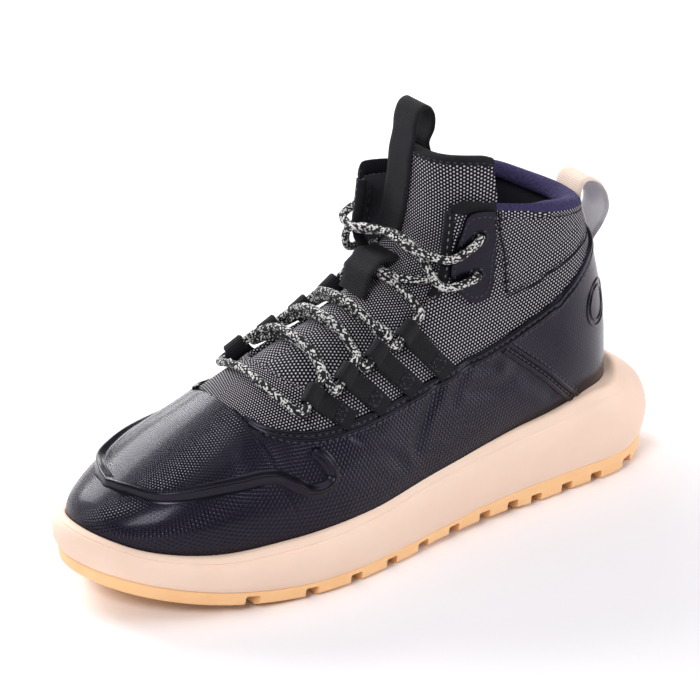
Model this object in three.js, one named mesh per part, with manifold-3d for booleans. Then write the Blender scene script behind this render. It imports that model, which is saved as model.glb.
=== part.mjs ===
// A mid-height lace-up sneaker boot for the left foot, empty and standing on its sole.
// Millimetres, +Z up. The toe points along -Y and +X is the outer side of the foot.
// The origin lies on the floor under the heel, on the flat face of a lug.
import * as THREE from "three";
import Module from "manifold-3d";
import { mergeVertices } from "three/addons/utils/BufferGeometryUtils.js";

const wasm = await Module();
wasm.setup();

// Sizes of the sole
const LENGTH = 304; // from the back of the heel to the tip of the toe
const HEEL_WIDTH = 80;
const BALL_WIDTH = 108.6;
const HEEL_ROUND = 45; // length of the round back of the heel, seen from above
const TOE_ROUND = 89; // length of the round toe, seen from above
const TOE_SPRING = 16; // rise of the sole at the tip of the toe
const SPRING_LENGTH = 99;
const HEEL_BEVEL = 5; // rise of the sole at the back of the heel
const BEVEL_LENGTH = 34;
const ARCH_RAISE = 1.5; // rise of the outsole between heel and ball
const OUTSOLE_INSET = 2; // how far the outsole lies inside the widest line of the midsole
const LUG_TAPER = 4; // how much farther in its underside lies
const LUG_HEIGHT = 2.2; // height of that taper
const CHANNEL_WIDTH = 5;
const CHANNEL_DEPTH = 4;
const GROOVE_WIDTH = 5;
const OUTSOLE_FRONT = 7.8;
const OUTSOLE_HEEL = 10.8;
const SIDEWALL_HEEL = 50; // height of the midsole's rim above the floor at the heel
const BED_FRONT = 20; // height of the foot bed under the ball
const BED_HEEL = 32;
const RIM_INSET = 5; // how far the rim lies inside the widest line of the midsole

// Sizes of the upper
const SHAFT_HEIGHT = 150; // from the foot bed to the top of the tongue
const WALL = 2.5;
const LEATHER_STEP = 1; // thickness of the leather where it covers the textile
const MARGIN = 3; // width of the upper's edge turned in under the insole
const INSOLE = 5;
const THROAT_FRONT = 48; // width of the throat's front end
const THROAT_TOP = 50; // width of the throat at the ankle
const THROAT_BACK = 0.3; // back end of the throat's cut, as a share of the length
const THROAT_END = 0.64; // front end, where its round starts
const THROAT_FLOOR = 0.2; // height where its cut starts, as a share of the shaft's height
const FLARE_INNER = 13; // how far the inner flap of the throat stands off at the ankle
const FLARE_OUTER = 2;
const SEAM_DIAMETER = 3.8; // raised seam around the toe

// Sizes of the tongue and of the padded collar
const TONGUE = 4.5;
const TONGUE_LAP = 9; // how far the tongue reaches under the throat's edge
const COLLAR_HEIGHT = 6.5;
const COLLAR_DEPTH = 10;
const BINDING_DEPTH = 2.2; // depth of the collar's slim front ends
const COLLAR_FRONT = 0.397; // its front and back ends, as shares of the length
const COLLAR_BACK = 0.119;

// Sizes of straps, loops, lace and eyelets
const WEBBING = 1.5;
const LOOP_WIDTH = 9.5;
const LOOP_COUNT = 4; // on each side
const LACE = 4.4;
const LACE_GAP = 0.6; // from the tongue, a flap or a patch up to the lace
const LACE_STEP = 3.6; // from the lower strand of a crossing up to the upper one
const FLAP_SLACK = 2.2; // how much farther the top strands stand off from the round flaps
const KEEPER_STEP = 2; // the same where they cross under the keeper
const MOUTH_GAP = 0.8; // from the mouth of a lace loop to the lace
const MOUTH_LEAD = 4.5; // how far the lace runs straight out of the mouth
const TUNNEL = 5.4; // bore of a lace loop
const PATCH = 1.6;
const EYELET = 5.6;
const STRAP_WIDTH = 17;
const STRAP_LOOP_SIZE = 19;
const STRAP_SHIFT = 7; // how far the strap and keeper lie toward the inner side
const STRAP_GAP = 0.5;
const STRAP_BACK_GAP = 4.8; // from the hollow back of the tongue to the flat strap behind it
const KEEPER_SHIFT = 3;
const KEEPER_WIDTH = 20;
const KEEPER_ARCH = 6.9; // how far the keeper arches off the tongue
const PULL_WIDTH = 19;
const PULL_DEPTH = 15;
const PULL_GAP = 0.9; // from the heel's wall to the flat ends of the pull loop
const CREAM_WEBBING = 1.8;

// Sizes of the foot opening under the upper
const FOOT_INSET = 8.3; // from the sole's outline in to the upper's foot
const FOOT_HEEL_INSET = 22;
const BED_BELOW = 6; // how far the foot opening's cut reaches below and above the foot bed
const BED_ABOVE = 12;

// Names of the outer and the inner side, and their signs along X
const SIDES = [["lateral", 1], ["medial", -1]];

// Clearance between pieces that meet
const GAP = 0.3;

// Fineness of the sole rings and of the upper's sections
const SOLE_STATIONS = 22;
const COLLAR_STATIONS = 14;
const SECTIONS = 27;
const LOWER_STEPS = 3;
const UPPER_STEPS = 7;

// Outline of the sole from above. at: share of the length. width: share of the step from heel
// width to ball width. lean: sideways shift of the centre line, as a share of the ball width.
const PLAN = [
  { at: 0, width: 0, lean: 0.009 },
  { at: 0.148, width: 0, lean: 0.009 },
  { at: 0.263, width: 0.02, lean: 0.02 },
  { at: 0.362, width: 0.02, lean: 0.04 },
  { at: 0.461, width: 0.19, lean: 0.052 },
  { at: 0.559, width: 0.55, lean: 0.053 },
  { at: 0.658, width: 0.91, lean: 0.037 },
  { at: 0.74, width: 1, lean: 0.007 },
  { at: 0.822, width: 1, lean: -0.018 },
  { at: 0.888, width: 0.99, lean: -0.033 },
  { at: 1, width: 0.98, lean: -0.055 },
];

// Channels across the outsole, as shares of the length, and the two grooves along it
const CHANNELS = [0.086, 0.154, 0.211, 0.271, 0.318, 0.372, 0.434, 0.495, 0.561, 0.63, 0.707, 0.799];
const HEEL_CENTRE = (LENGTH * (CHANNELS[1] + CHANNELS[2])) / 2; // from the back of the heel to the origin
const GROOVE = [
  { at: 0.086, side: 0.13 },
  { at: 0.434, side: 0.13 },
  { at: 0.66, side: 0.19 },
  { at: 0.799, side: 0.17 },
];

// Side of the midsole. at: share of the length. rim: height of the rim above the sole's
// underside, as a share of the sidewall's height at the heel.
const RIM = [
  { at: 0, rim: 0.95 },
  { at: 0.06, rim: 0.95 },
  { at: 0.1, rim: 0.9 },
  { at: 0.145, rim: 0.91 },
  { at: 0.178, rim: 0.88 },
  { at: 0.234, rim: 0.83 },
  { at: 0.309, rim: 0.8 },
  { at: 0.4, rim: 0.755 },
  { at: 0.493, rim: 0.705 },
  { at: 0.572, rim: 0.644 },
  { at: 0.632, rim: 0.62 },
  { at: 0.743, rim: 0.566 },
  { at: 0.842, rim: 0.476 },
  { at: 0.924, rim: 0.452 },
  { at: 0.967, rim: 0.475 },
  { at: 1, rim: 0.5 },
];

// Profile of the midsole's wall. up: share of the wall's height. inset: share of the rim's inset.
// heel: how far the heel's back lies forward there, as a share of the round heel's length.
const WALL_PROFILE = [
  { up: 0, inset: 0.4, heel: -0.01 },
  { up: 0.2, inset: 0.08, heel: -0.045 },
  { up: 0.48, inset: 0, heel: 0.02 },
  { up: 0.66, inset: 0.1, heel: 0.13 },
  { up: 0.84, inset: 0.4, heel: 0.28 },
  { up: 1, inset: 1, heel: 0.41 },
];

// Sections of the upper, from the tip of the toe back along the sole and up the heel.
// footAt and topAt: places along the length, as shares of it. footUp and topUp: heights above the
// foot bed, as shares of the shaft's height. half: half width, as a share of the ball width.
// flat: share of the half width that lies flat on the bed. low: share of the section at which it
// is widest. crown: exponent of the arch over it, 2 for an ellipse.
const LAST = [
  { footAt: 0.977, footUp: 0.004, topAt: 0.977, topUp: 0.03, half: 0.424, flat: 0.8, low: 0.5, crown: 2.1 },
  { footAt: 0.972, footUp: -0.02, topAt: 0.973, topUp: 0.062, half: 0.424, flat: 0.8, low: 0.5, crown: 2.1 },
  { footAt: 0.956, footUp: -0.026, topAt: 0.959, topUp: 0.106, half: 0.424, flat: 0.8, low: 0.45, crown: 2.1 },
  { footAt: 0.924, footUp: -0.02, topAt: 0.931, topUp: 0.153, half: 0.424, flat: 0.8, low: 0.36, crown: 2.1 },
  { footAt: 0.872, footUp: -0.01, topAt: 0.885, topUp: 0.225, half: 0.424, flat: 0.8, low: 0.28, crown: 2.1 },
  { footAt: 0.803, footUp: 0, topAt: 0.826, topUp: 0.303, half: 0.424, flat: 0.8, low: 0.24, crown: 2.1 },
  { footAt: 0.72, footUp: 0, topAt: 0.757, topUp: 0.386, half: 0.424, flat: 0.8, low: 0.22, crown: 2 },
  { footAt: 0.632, footUp: 0, topAt: 0.684, topUp: 0.474, half: 0.417, flat: 0.8, low: 0.2, crown: 2 },
  { footAt: 0.536, footUp: 0, topAt: 0.618, topUp: 0.54, half: 0.382, flat: 0.8, low: 0.2, crown: 2.1 },
  { footAt: 0.441, footUp: 0, topAt: 0.559, topUp: 0.58, half: 0.342, flat: 0.8, low: 0.2, crown: 2.3 },
  { footAt: 0.349, footUp: 0, topAt: 0.513, topUp: 0.613, half: 0.32, flat: 0.78, low: 0.22, crown: 2.5 },
  { footAt: 0.26, footUp: 0, topAt: 0.48, topUp: 0.648, half: 0.31, flat: 0.72, low: 0.25, crown: 2.7 },
  { footAt: 0.178, footUp: 0, topAt: 0.457, topUp: 0.693, half: 0.31, flat: 0.6, low: 0.3, crown: 2.8 },
  { footAt: 0.109, footUp: 0.01, topAt: 0.442, topUp: 0.742, half: 0.313, flat: 0.35, low: 0.35, crown: 2.8 },
  { footAt: 0.08, footUp: 0.067, topAt: 0.433, topUp: 0.8, half: 0.322, flat: 0.1, low: 0.4, crown: 2.8 },
  { footAt: 0.076, footUp: 0.187, topAt: 0.426, topUp: 0.865, half: 0.326, flat: 0, low: 0.42, crown: 2.8 },
  { footAt: 0.084, footUp: 0.333, topAt: 0.421, topUp: 0.931, half: 0.33, flat: 0, low: 0.45, crown: 2.8 },
  { footAt: 0.098, footUp: 0.467, topAt: 0.418, topUp: 1.003, half: 0.333, flat: 0, low: 0.45, crown: 2.8 },
  { footAt: 0.116, footUp: 0.593, topAt: 0.416, topUp: 1.083, half: 0.336, flat: 0, low: 0.45, crown: 2.8 },
  { footAt: 0.134, footUp: 0.72, topAt: 0.414, topUp: 1.163, half: 0.338, flat: 0, low: 0.45, crown: 2.8 },
  { footAt: 0.144, footUp: 0.8, topAt: 0.414, topUp: 1.23, half: 0.34, flat: 0, low: 0.45, crown: 2.8 },
];

// Top edge of the leather, seen from the side. at: share of the length. up: height above the
// heel's bed, as a share of the shaft's height.
const LEATHER_EDGE = [
  { at: 0.1, up: 0.57 },
  { at: 0.145, up: 0.55 },
  { at: 0.178, up: 0.507 },
  { at: 0.211, up: 0.467 },
  { at: 0.247, up: 0.427 },
  { at: 0.28, up: 0.4 },
  { at: 0.316, up: 0.373 },
  { at: 0.359, up: 0.353 },
  { at: 0.464, up: 0.313 },
  { at: 0.563, up: 0.28 },
  { at: 0.66, up: 0.267 },
  { at: 0.694, up: 0.272 },
  { at: 0.724, up: 0.285 },
  { at: 0.74, up: 0.303 },
  { at: 0.75, up: 0.335 },
];

// Top edge of the ankle's wall, from the heel to the front, in the same shares
const COLLAR_EDGE = [
  { at: 0.066, up: 0.635 },
  { at: 0.12, up: 0.643 },
  { at: 0.174, up: 0.68 },
  { at: 0.266, up: 0.725 },
  { at: 0.319, up: 0.752 },
  { at: 0.405, up: 0.795 },
  { at: 0.5, up: 0.84 },
];

// Top edge of the tongue, from its side to its front, in the same shares
const TONGUE_EDGE = [
  { at: 0.27, up: 0.82 },
  { at: 0.31, up: 0.89 },
  { at: 0.36, up: 0.937 },
  { at: 0.41, up: 0.942 },
  { at: 0.46, up: 0.942 },
];

// Section of the padded collar. inward: share of its depth. up: share of its height.
const COLLAR_PROFILE = [
  { inward: 0.12, up: 0 },
  { inward: 0, up: 0.35 },
  { inward: 0.1, up: 0.78 },
  { inward: 0.4, up: 1 },
  { inward: 0.75, up: 0.9 },
  { inward: 1, up: 0.45 },
  { inward: 0.95, up: 0.1 },
  { inward: 0.6, up: 0 },
];

// Loop over the tongue's top edge, as shares of its size, back from the front and up
const STRAP_LOOP = [
  { back: 0.03, up: 0.3 },
  { back: 0.08, up: 0.68 },
  { back: 0.22, up: 0.94 },
  { back: 0.42, up: 0.98 },
  { back: 0.58, up: 0.75 },
  { back: 0.57, up: 0.4 },
  { back: 0.42, up: 0.1 },
];

// Heel pull loop. out: distance from the heel's wall, as a share of the loop's depth.
// up: height, as a share of the shaft's height.
const PULL_LINE = [
  { out: 0, up: 0.57 },
  { out: 0, up: 0.61 },
  { out: 0.05, up: 0.655 },
  { out: 0.4, up: 0.697 },
  { out: 0.8, up: 0.685 },
  { out: 1, up: 0.642 },
  { out: 0.95, up: 0.59 },
  { out: 0.55, up: 0.54 },
  { out: 0.12, up: 0.503 },
  { out: 0, up: 0.48 },
];

// Outline of an eyelet patch and its two eyelets, in shares of the length and shaft height
const PATCH_OUTLINE = [
  { at: 0.375, up: 0.79 },
  { at: 0.339, up: 0.785 },
  { at: 0.332, up: 0.765 },
  { at: 0.339, up: 0.627 },
  { at: 0.352, up: 0.515 },
  { at: 0.375, up: 0.507 },
  { at: 0.395, up: 0.54 },
  { at: 0.405, up: 0.593 },
  { at: 0.396, up: 0.673 },
  { at: 0.385, up: 0.74 },
];
const EYELETS = [
  { at: 0.368, up: 0.593 },
  { at: 0.362, up: 0.713 },
];

// Fold of the first and last lace loop on the throat's edge, and their feet at the leather
const LOOP_FIRST = { at: 0.653, up: 0.348, footAt: 0.612 };
const LOOP_LAST = { at: 0.49, up: 0.471, footAt: 0.438 };

// Places of the lace by section and turn of the upper's form: the bar, the middles of the
// crossings, the ends under the flaps, and where the top strands pass over the flaps' edges
const BAR_ROW = 6.8;
const CROSSING_ROWS = [7.9, 8.7, 9.4];
const FLAP_CROSSING_ROW = 11;
const FLAP_END = { row: 11.6, turn: 0.72 };
const FLANK_TURN = 0.8;
const TOP_CROSSING_ROW = 12.9;
const FLAP_EDGES = [
  { row: 12.1, turn: 0.56, flaredTurn: 0.66 },
  { row: 13.6, turn: 0.56, flaredTurn: 0.66 },
];

// Raised seam around the toe, from the end of its hook to the middle, in the same shares
const TOE_SEAM = [
  { at: 0.674, up: 0.22 },
  { at: 0.658, up: 0.182 },
  { at: 0.653, up: 0.135 },
  { at: 0.67, up: 0.112 },
  { at: 0.695, up: 0.116 },
  { at: 0.714, up: 0.145 },
  { at: 0.732, up: 0.165 },
  { at: 0.755, up: 0.17 },
  { at: 0.782, up: 0.165 },
  { at: 0.819, up: 0.158 },
  { at: 0.856, up: 0.147 },
  { at: 0.888, up: 0.14 },
  { at: 0.913, up: 0.142 },
  { at: 0.926, up: 0.15 },
  { at: 0.93, up: 0.16 },
];

// Value of one column of a table at a place, along a smooth curve that does not overshoot
function read(table, column, place, key = "at") {
  const last = table.length - 1;
  if (place <= table[0][key]) return table[0][column];
  if (place >= table[last][key]) return table[last][column];
  const row = table.findIndex((entry) => entry[key] > place) - 1;
  const slope = (i) => (table[i + 1][column] - table[i][column]) / (table[i + 1][key] - table[i][key]);
  const tangent = (i) => {
    if (i === 0) return slope(0);
    if (i === last) return slope(last - 1);
    const before = slope(i - 1);
    const after = slope(i);
    return before * after <= 0 ? 0 : (2 * before * after) / (before + after);
  };
  const step = table[row + 1][key] - table[row][key];
  const t = (place - table[row][key]) / step;
  const rise = table[row + 1][column] - table[row][column];
  const start = tangent(row) * step;
  const end = tangent(row + 1) * step;
  return table[row][column] + t * (start + t * (3 * rise - 2 * start - end + t * (start + end - 2 * rise)));
}

const clamp = (value) => Math.min(1, Math.max(0, value));
const ease = (value) => clamp(value) ** 2 * (3 - 2 * clamp(value));

// A point at a distance ahead of the heel's back, sideways and up
const point = (side, along, up) => new THREE.Vector3(side, HEEL_CENTRE - along, up);

// Centre line and half width of the sole, moved in by an inset and forward at the heel
const centre = (along) => read(PLAN, "lean", along / LENGTH) * BALL_WIDTH;
function halfWidth(along, inset = 0, heelInset = inset) {
  const side = (HEEL_WIDTH + read(PLAN, "width", along / LENGTH) * (BALL_WIDTH - HEEL_WIDTH)) / 2 - inset;
  const heel = clamp((HEEL_ROUND - along) / (HEEL_ROUND - heelInset));
  const toeStart = LENGTH - TOE_ROUND;
  const toe = clamp((along - toeStart) / (TOE_ROUND - inset));
  return side * Math.sqrt(1 - heel ** 2) * Math.sqrt(1 - toe ** 2.2);
}

// Underside of the sole, the top of the outsole, the rim of the midsole and the foot bed
function underside(along) {
  const toe = clamp((along - LENGTH + SPRING_LENGTH) / SPRING_LENGTH);
  const heel = clamp((BEVEL_LENGTH - along) / BEVEL_LENGTH);
  return TOE_SPRING * toe ** 2 + HEEL_BEVEL * heel ** 2;
}
const towardsHeel = (along) => ease((0.53 - along / LENGTH) / 0.22);
const outsoleTop = (along) =>
  underside(along) + OUTSOLE_FRONT + (OUTSOLE_HEEL - OUTSOLE_FRONT) * towardsHeel(along);
const rimHeight = (along) => underside(along) + read(RIM, "rim", along / LENGTH) * SIDEWALL_HEEL;
function bedHeight(along) {
  const slope = (BED_HEEL - BED_FRONT) * ease((0.64 - along / LENGTH) / 0.4);
  return BED_FRONT + slope + 0.8 * underside(Math.max(along, HEEL_ROUND));
}

// A closed solid from a geometry whose corners are merged
function solid(geometry) {
  geometry.deleteAttribute("normal");
  geometry.deleteAttribute("uv");
  const merged = mergeVertices(geometry, 1e-4);
  const index = merged.getIndex().array;
  const kept = [];
  for (let i = 0; i < index.length; i += 3) {
    const [a, b, c] = [index[i], index[i + 1], index[i + 2]];
    if (a !== b && b !== c && c !== a) kept.push(a, b, c);
  }
  const vertProperties = new Float32Array(merged.getAttribute("position").array);
  return new wasm.Manifold(new wasm.Mesh({ numProp: 3, vertProperties, triVerts: new Uint32Array(kept) }));
}

// A geometry from rings of as many points each, closed around, with a ladder of triangles
// across each end ring. Each ring runs counterclockwise, seen from beyond the last ring.
function loft(rings) {
  const count = rings[0].length;
  const last = (rings.length - 1) * count;
  const index = [];
  for (let start = 0; start < last; start += count) {
    for (let i = 0; i < count; i += 1) {
      const a = start + i;
      const b = start + ((i + 1) % count);
      index.push(a, b, b + count, a, b + count, a + count);
    }
  }
  for (let a = 0; a < count / 2; a += 1) {
    const b = a + 1;
    const c = count - a - 1;
    const d = (count - a) % count;
    index.push(a, c, b, a, d, c);
    index.push(last + a, last + b, last + c, last + a, last + c, last + d);
  }
  const geometry = new THREE.BufferGeometry();
  const corners = rings.flat().flatMap((corner) => corner.toArray());
  geometry.setAttribute("position", new THREE.Float32BufferAttribute(corners, 3));
  geometry.setIndex(index);
  return geometry;
}

// One ring around the sole, from the toe along the outer side and back along the inner side
function soleRing({ inset, heelInset, height }) {
  const places = Array.from({ length: SOLE_STATIONS + 1 }, (_, i) => {
    const share = (1 + Math.cos((Math.PI * i) / SOLE_STATIONS)) / 2;
    return heelInset + (LENGTH - inset - heelInset) * share;
  });
  const side = (along, sign) =>
    point(centre(along) + sign * halfWidth(along, inset, heelInset), along, height(along));
  const outer = places.map((along) => side(along, 1));
  const inner = places.slice(1, -1).map((along) => side(along, -1));
  return [...outer, ...inner.reverse()];
}
const soleLoft = (levels) => solid(loft(levels.map(soleRing)));

// The upper's form. A spot on it is given by its section and its turn: -1 at the middle of the
// bottom or of the heel's back, 0 where the section is widest, 1 at the middle of the top.
const ROWS = LAST.map((entry, row) => ({ ...entry, row }));
const TOE_START = LENGTH - TOE_ROUND;
function sectionSizes(row) {
  const value = (column) => read(ROWS, column, row, "row");
  const footAlong = value("footAt") * LENGTH;
  const topAlong = value("topAt") * LENGTH;
  const footUp = bedHeight(footAlong) + value("footUp") * SHAFT_HEIGHT;
  const topUp = bedHeight(topAlong) + value("topUp") * SHAFT_HEIGHT;
  const low = value("low");
  const tip = ROWS[0].footAt * LENGTH;
  const toe = clamp((footAlong + low * (topAlong - footAlong) - TOE_START) / (tip - TOE_START));
  const half = value("half") * BALL_WIDTH * Math.sqrt(1 - toe ** 2.2);
  return { footAlong, topAlong, footUp, topUp, low, half, flat: value("flat") * half, power: 2 / value("crown") };
}
function spotIn(sizes, turn, sign) {
  const { low, half, flat, power } = sizes;
  let across = 0;
  let share = 1;
  if (turn < 0) {
    const angle = (Math.PI / 2) * (1 + turn);
    across = flat + (half - flat) * Math.sin(angle);
    share = low * (1 - Math.cos(angle));
  } else if (turn < 1) {
    const angle = (Math.PI / 2) * turn;
    across = half * Math.cos(angle) ** power;
    share = low + (1 - low) * Math.sin(angle) ** power;
  }
  const along = sizes.footAlong + share * (sizes.topAlong - sizes.footAlong);
  const up = sizes.footUp + share * (sizes.topUp - sizes.footUp);
  return point(centre(along) + sign * across, along, up);
}
function section(row) {
  const sizes = sectionSizes(row);
  const lower = Array.from({ length: LOWER_STEPS }, (_, i) => i / LOWER_STEPS - 1);
  const upper = Array.from({ length: UPPER_STEPS }, (_, i) => i / UPPER_STEPS);
  const turns = [...lower, ...upper];
  const bottom = point(centre(sizes.footAlong), sizes.footAlong, sizes.footUp);
  const inner = turns.map((turn) => spotIn(sizes, turn, -1));
  const outer = turns.map((turn) => spotIn(sizes, turn, 1));
  return [bottom, ...inner, spotIn(sizes, 1, 1), ...outer.reverse()];
}

// The flaps beside the throat stand off from the tongue at the ankle
function flare(corner) {
  const along = HEEL_CENTRE - corner.y;
  const across = corner.x - centre(along);
  const up = (corner.z - BED_HEEL) / SHAFT_HEIGHT;
  const reach = ease((along / LENGTH - 0.32) / 0.09) * ease((up - 0.52) / 0.18);
  const amount = (across < 0 ? FLARE_INNER : FLARE_OUTER) * reach * clamp(Math.abs(across) / 20);
  return corner.clone().add(new THREE.Vector3(0.45 * Math.sign(across) * amount, -0.9 * amount, 0));
}

// The same form moved out or in along its normals, with or without its flared flaps
const lastGeometry = mergeVertices(
  loft(Array.from({ length: SECTIONS + 1 }, (_, i) => section((ROWS.length - 1) * (i / SECTIONS) ** 1.15))),
  1e-4,
);
lastGeometry.computeVertexNormals();
function form(offset, flared = false) {
  const moved = lastGeometry.clone();
  const corners = moved.getAttribute("position");
  const normals = moved.getAttribute("normal");
  for (let i = 0; i < corners.count; i += 1) {
    const normal = new THREE.Vector3().fromBufferAttribute(normals, i);
    const corner = new THREE.Vector3().fromBufferAttribute(corners, i).addScaledVector(normal, offset);
    corners.setXYZ(i, ...(flared ? flare(corner) : corner).toArray());
  }
  return solid(moved);
}

// A spot of the form with its flared flaps, moved out along its normal, and that normal
function spotOn(row, turn, sign, lift = 0) {
  const spot = (place, around) => flare(spotIn(sectionSizes(place), around, sign));
  const small = 0.02;
  const level = Math.min(1 - small, Math.max(small - 1, turn));
  const alongRow = spot(row + small, turn).sub(spot(row - small, turn));
  const aroundTurn = spot(row, level + small).sub(spot(row, level - small));
  const normal = alongRow.cross(aroundTurn).multiplyScalar(sign).normalize();
  return { point: spot(row, turn).addScaledVector(normal, lift), normal };
}

// The same for the spot that lies at a place along and a height, seen from one side before the
// flaps are flared. at: share of the length. up: height above the heel's bed, as a share of the
// shaft's height. The search starts from a grid of spots and closes in.
const grid = [];
for (let row = 0; row < ROWS.length - 1; row += 0.25) {
  const sizes = sectionSizes(row);
  for (let turn = -1; turn <= 1; turn += 0.1) grid.push({ row, turn, spot: spotIn(sizes, turn, 1) });
}
const height = (up) => BED_HEEL + up * SHAFT_HEIGHT;
function seat(at, up, sign, lift = 0) {
  const along = at * LENGTH;
  const miss = (spot) => Math.hypot(HEEL_CENTRE - spot.y - along, spot.z - height(up));
  let best = grid.reduce((found, entry) => (miss(entry.spot) < miss(found.spot) ? entry : found));
  for (let step = 0.5; step > 0.004; step /= 1.6) {
    for (const [rowStep, turnStep] of [[step, 0], [-step, 0], [0, step * 0.3], [0, -step * 0.3]]) {
      const row = Math.min(ROWS.length - 1, Math.max(0, best.row + rowStep));
      const turn = Math.min(1, Math.max(-1, best.turn + turnStep));
      const spot = spotIn(sectionSizes(row), turn, 1);
      if (miss(spot) < miss(best.spot)) best = { row, turn, spot };
    }
  }
  return spotOn(best.row, best.turn, sign, lift);
}

// A named mesh from a solid
const boot = new THREE.Group();
function add(name, body, colour, roughness) {
  const mesh = body.getMesh();
  const geometry = new THREE.BufferGeometry();
  geometry.setAttribute("position", new THREE.BufferAttribute(mesh.vertProperties.slice(), 3));
  geometry.setIndex(new THREE.BufferAttribute(mesh.triVerts.slice(), 1));
  geometry.computeVertexNormals();
  const material = new THREE.MeshStandardMaterial({ color: colour, roughness, metalness: 0 });
  const part = new THREE.Mesh(geometry, material);
  part.name = name;
  boot.add(part);
  return part;
}

// Cutters. A side shape has points ahead of the heel and up and runs right across the boot.
// A plan shape has points sideways and ahead of the heel and runs up from a height.
function sideCutter(points, depth = 2 * BALL_WIDTH, middle = 0) {
  const shape = new THREE.Shape(points.map(([along, up]) => new THREE.Vector2(along, up)));
  const geometry = new THREE.ExtrudeGeometry(shape, { depth, bevelEnabled: false });
  const across = new THREE.Matrix4().makeBasis(
    new THREE.Vector3(0, -1, 0),
    new THREE.Vector3(0, 0, 1),
    new THREE.Vector3(-1, 0, 0),
  );
  return solid(geometry.applyMatrix4(across.setPosition(middle + depth / 2, HEEL_CENTRE, 0)));
}
function planCutter(points, bottom) {
  const shape = new THREE.Shape(points.map(([side, along]) => new THREE.Vector2(side, -along)));
  const geometry = new THREE.ExtrudeGeometry(shape, { depth: 2 * SHAFT_HEIGHT, bevelEnabled: false });
  return solid(geometry.translate(0, HEEL_CENTRE, bottom));
}

// Everything over a line that a table gives, between two places along the boot
function over(table, from, to, steps, raise = 0) {
  const line = Array.from({ length: steps + 1 }, (_, i) => {
    const at = from + ((to - from) * i) / steps;
    return [at * LENGTH, height(read(table, "up", at)) + raise];
  });
  const top = 2.5 * SHAFT_HEIGHT;
  return sideCutter([...line, [to * LENGTH, top], [from * LENGTH, top]]);
}

// The throat, or a wider strip around it, with a round front end
function throatStrip(widen, back, front) {
  const widthAt = (at) => THROAT_TOP + (THROAT_FRONT - THROAT_TOP) * ease((at - 0.4) / 0.1);
  const halfAt = (at) => widthAt(at) / 2 + widen;
  const steps = 8;
  const places = Array.from({ length: steps + 1 }, (_, i) => back + ((front - back) * i) / steps);
  const round = halfAt(front) * 0.5;
  const edge = (sign) => places.map((at) => [centre(at * LENGTH) + sign * halfAt(at), at * LENGTH]);
  const end = [-60, -30, 0, 30, 60].map((degrees) => {
    const angle = (degrees * Math.PI) / 180;
    const across = halfAt(front) * Math.sin(angle);
    return [centre(front * LENGTH) + across, front * LENGTH + round * Math.cos(angle)];
  });
  return planCutter([...edge(-1), ...end, ...edge(1).reverse()], height(THROAT_FLOOR));
}

// Outsole: a flat heel and forefoot on one plane, with channels that leave lugs
function makeOutsole() {
  const arch = (at) => ARCH_RAISE * ease((at - 0.27) / 0.06) * ease((0.52 - at) / 0.06);
  const bottom = (along) => underside(along) + arch(along / LENGTH);
  const heelStep = OUTSOLE_INSET * 0.75;
  let body = soleLoft([
    { inset: OUTSOLE_INSET + LUG_TAPER, heelInset: LUG_TAPER + heelStep, height: bottom },
    { inset: OUTSOLE_INSET * 1.3, heelInset: heelStep, height: (along) => bottom(along) + LUG_HEIGHT },
    { inset: OUTSOLE_INSET, heelInset: heelStep / 3, height: outsoleTop },
  ]);
  for (const at of CHANNELS) {
    const along = at * LENGTH;
    const cut = new THREE.BoxGeometry(1.2 * BALL_WIDTH, CHANNEL_WIDTH, 2 * CHANNEL_DEPTH);
    const half = CHANNEL_WIDTH / 2;
    const slope = (bottom(along + half) - bottom(along - half)) / CHANNEL_WIDTH;
    cut.rotateX(-Math.atan(slope));
    cut.translate(0, HEEL_CENTRE - along, bottom(along));
    body = body.subtract(solid(cut));
  }
  for (const side of [-1, 1]) {
    const points = GROOVE.map(({ at, side: share }) => {
      return [centre(at * LENGTH) + side * share * BALL_WIDTH, at * LENGTH];
    });
    const back = [...points].reverse().map(([x, along]) => [x + GROOVE_WIDTH, along]);
    const groove = planCutter([...points, ...back], -2 * SHAFT_HEIGHT + CHANNEL_DEPTH);
    body = body.subtract(groove);
  }
  return body;
}
add("outsole", makeOutsole(), 0xfdcf9b, 0.6);

// Midsole: its wall's profile all round, with a bed that the upper sinks into
const midsole = soleLoft(
  WALL_PROFILE.map(({ up, inset, heel }) => ({
    inset: inset * RIM_INSET,
    heelInset: heel * HEEL_ROUND,
    height: (along) => {
      const bottom = outsoleTop(along) + GAP;
      return bottom + up * (rimHeight(along) - bottom);
    },
  })),
).subtract(form(LEATHER_STEP + GAP));
add("midsole", midsole, 0xf4dccb, 0.7);

// Upper: one wall, thicker by a step where leather covers the textile, with the seam around
// the toe raised on it, open at the collar, the throat and under the foot
function raisedSeam() {
  const outer = TOE_SEAM.map(({ at, up }) => seat(at, up, 1, LEATHER_STEP).point);
  const inner = TOE_SEAM.slice(0, -1).map(({ at, up }) => seat(at, up, -1, LEATHER_STEP).point);
  const path = new THREE.CatmullRomCurve3([...outer, ...inner.reverse()], false, "centripetal");
  const circle = new THREE.Shape().absarc(0, 0, SEAM_DIAMETER / 2, 0, 2 * Math.PI);
  return solid(
    new THREE.ExtrudeGeometry(circle, { steps: 36, curveSegments: 3, bevelEnabled: false, extrudePath: path }),
  );
}
const sole = (inset, bottom, top) =>
  soleLoft(
    [bottom, top].map((raise) => ({
      inset: inset + FOOT_INSET,
      heelInset: inset + FOOT_HEEL_INSET,
      height: (along) => bedHeight(along) + raise,
    })),
  );
const leatherOver = over(LEATHER_EDGE, -0.1, 0.75, 30);
const collarCut = over(COLLAR_EDGE, -0.1, 0.6, 44);
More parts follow.
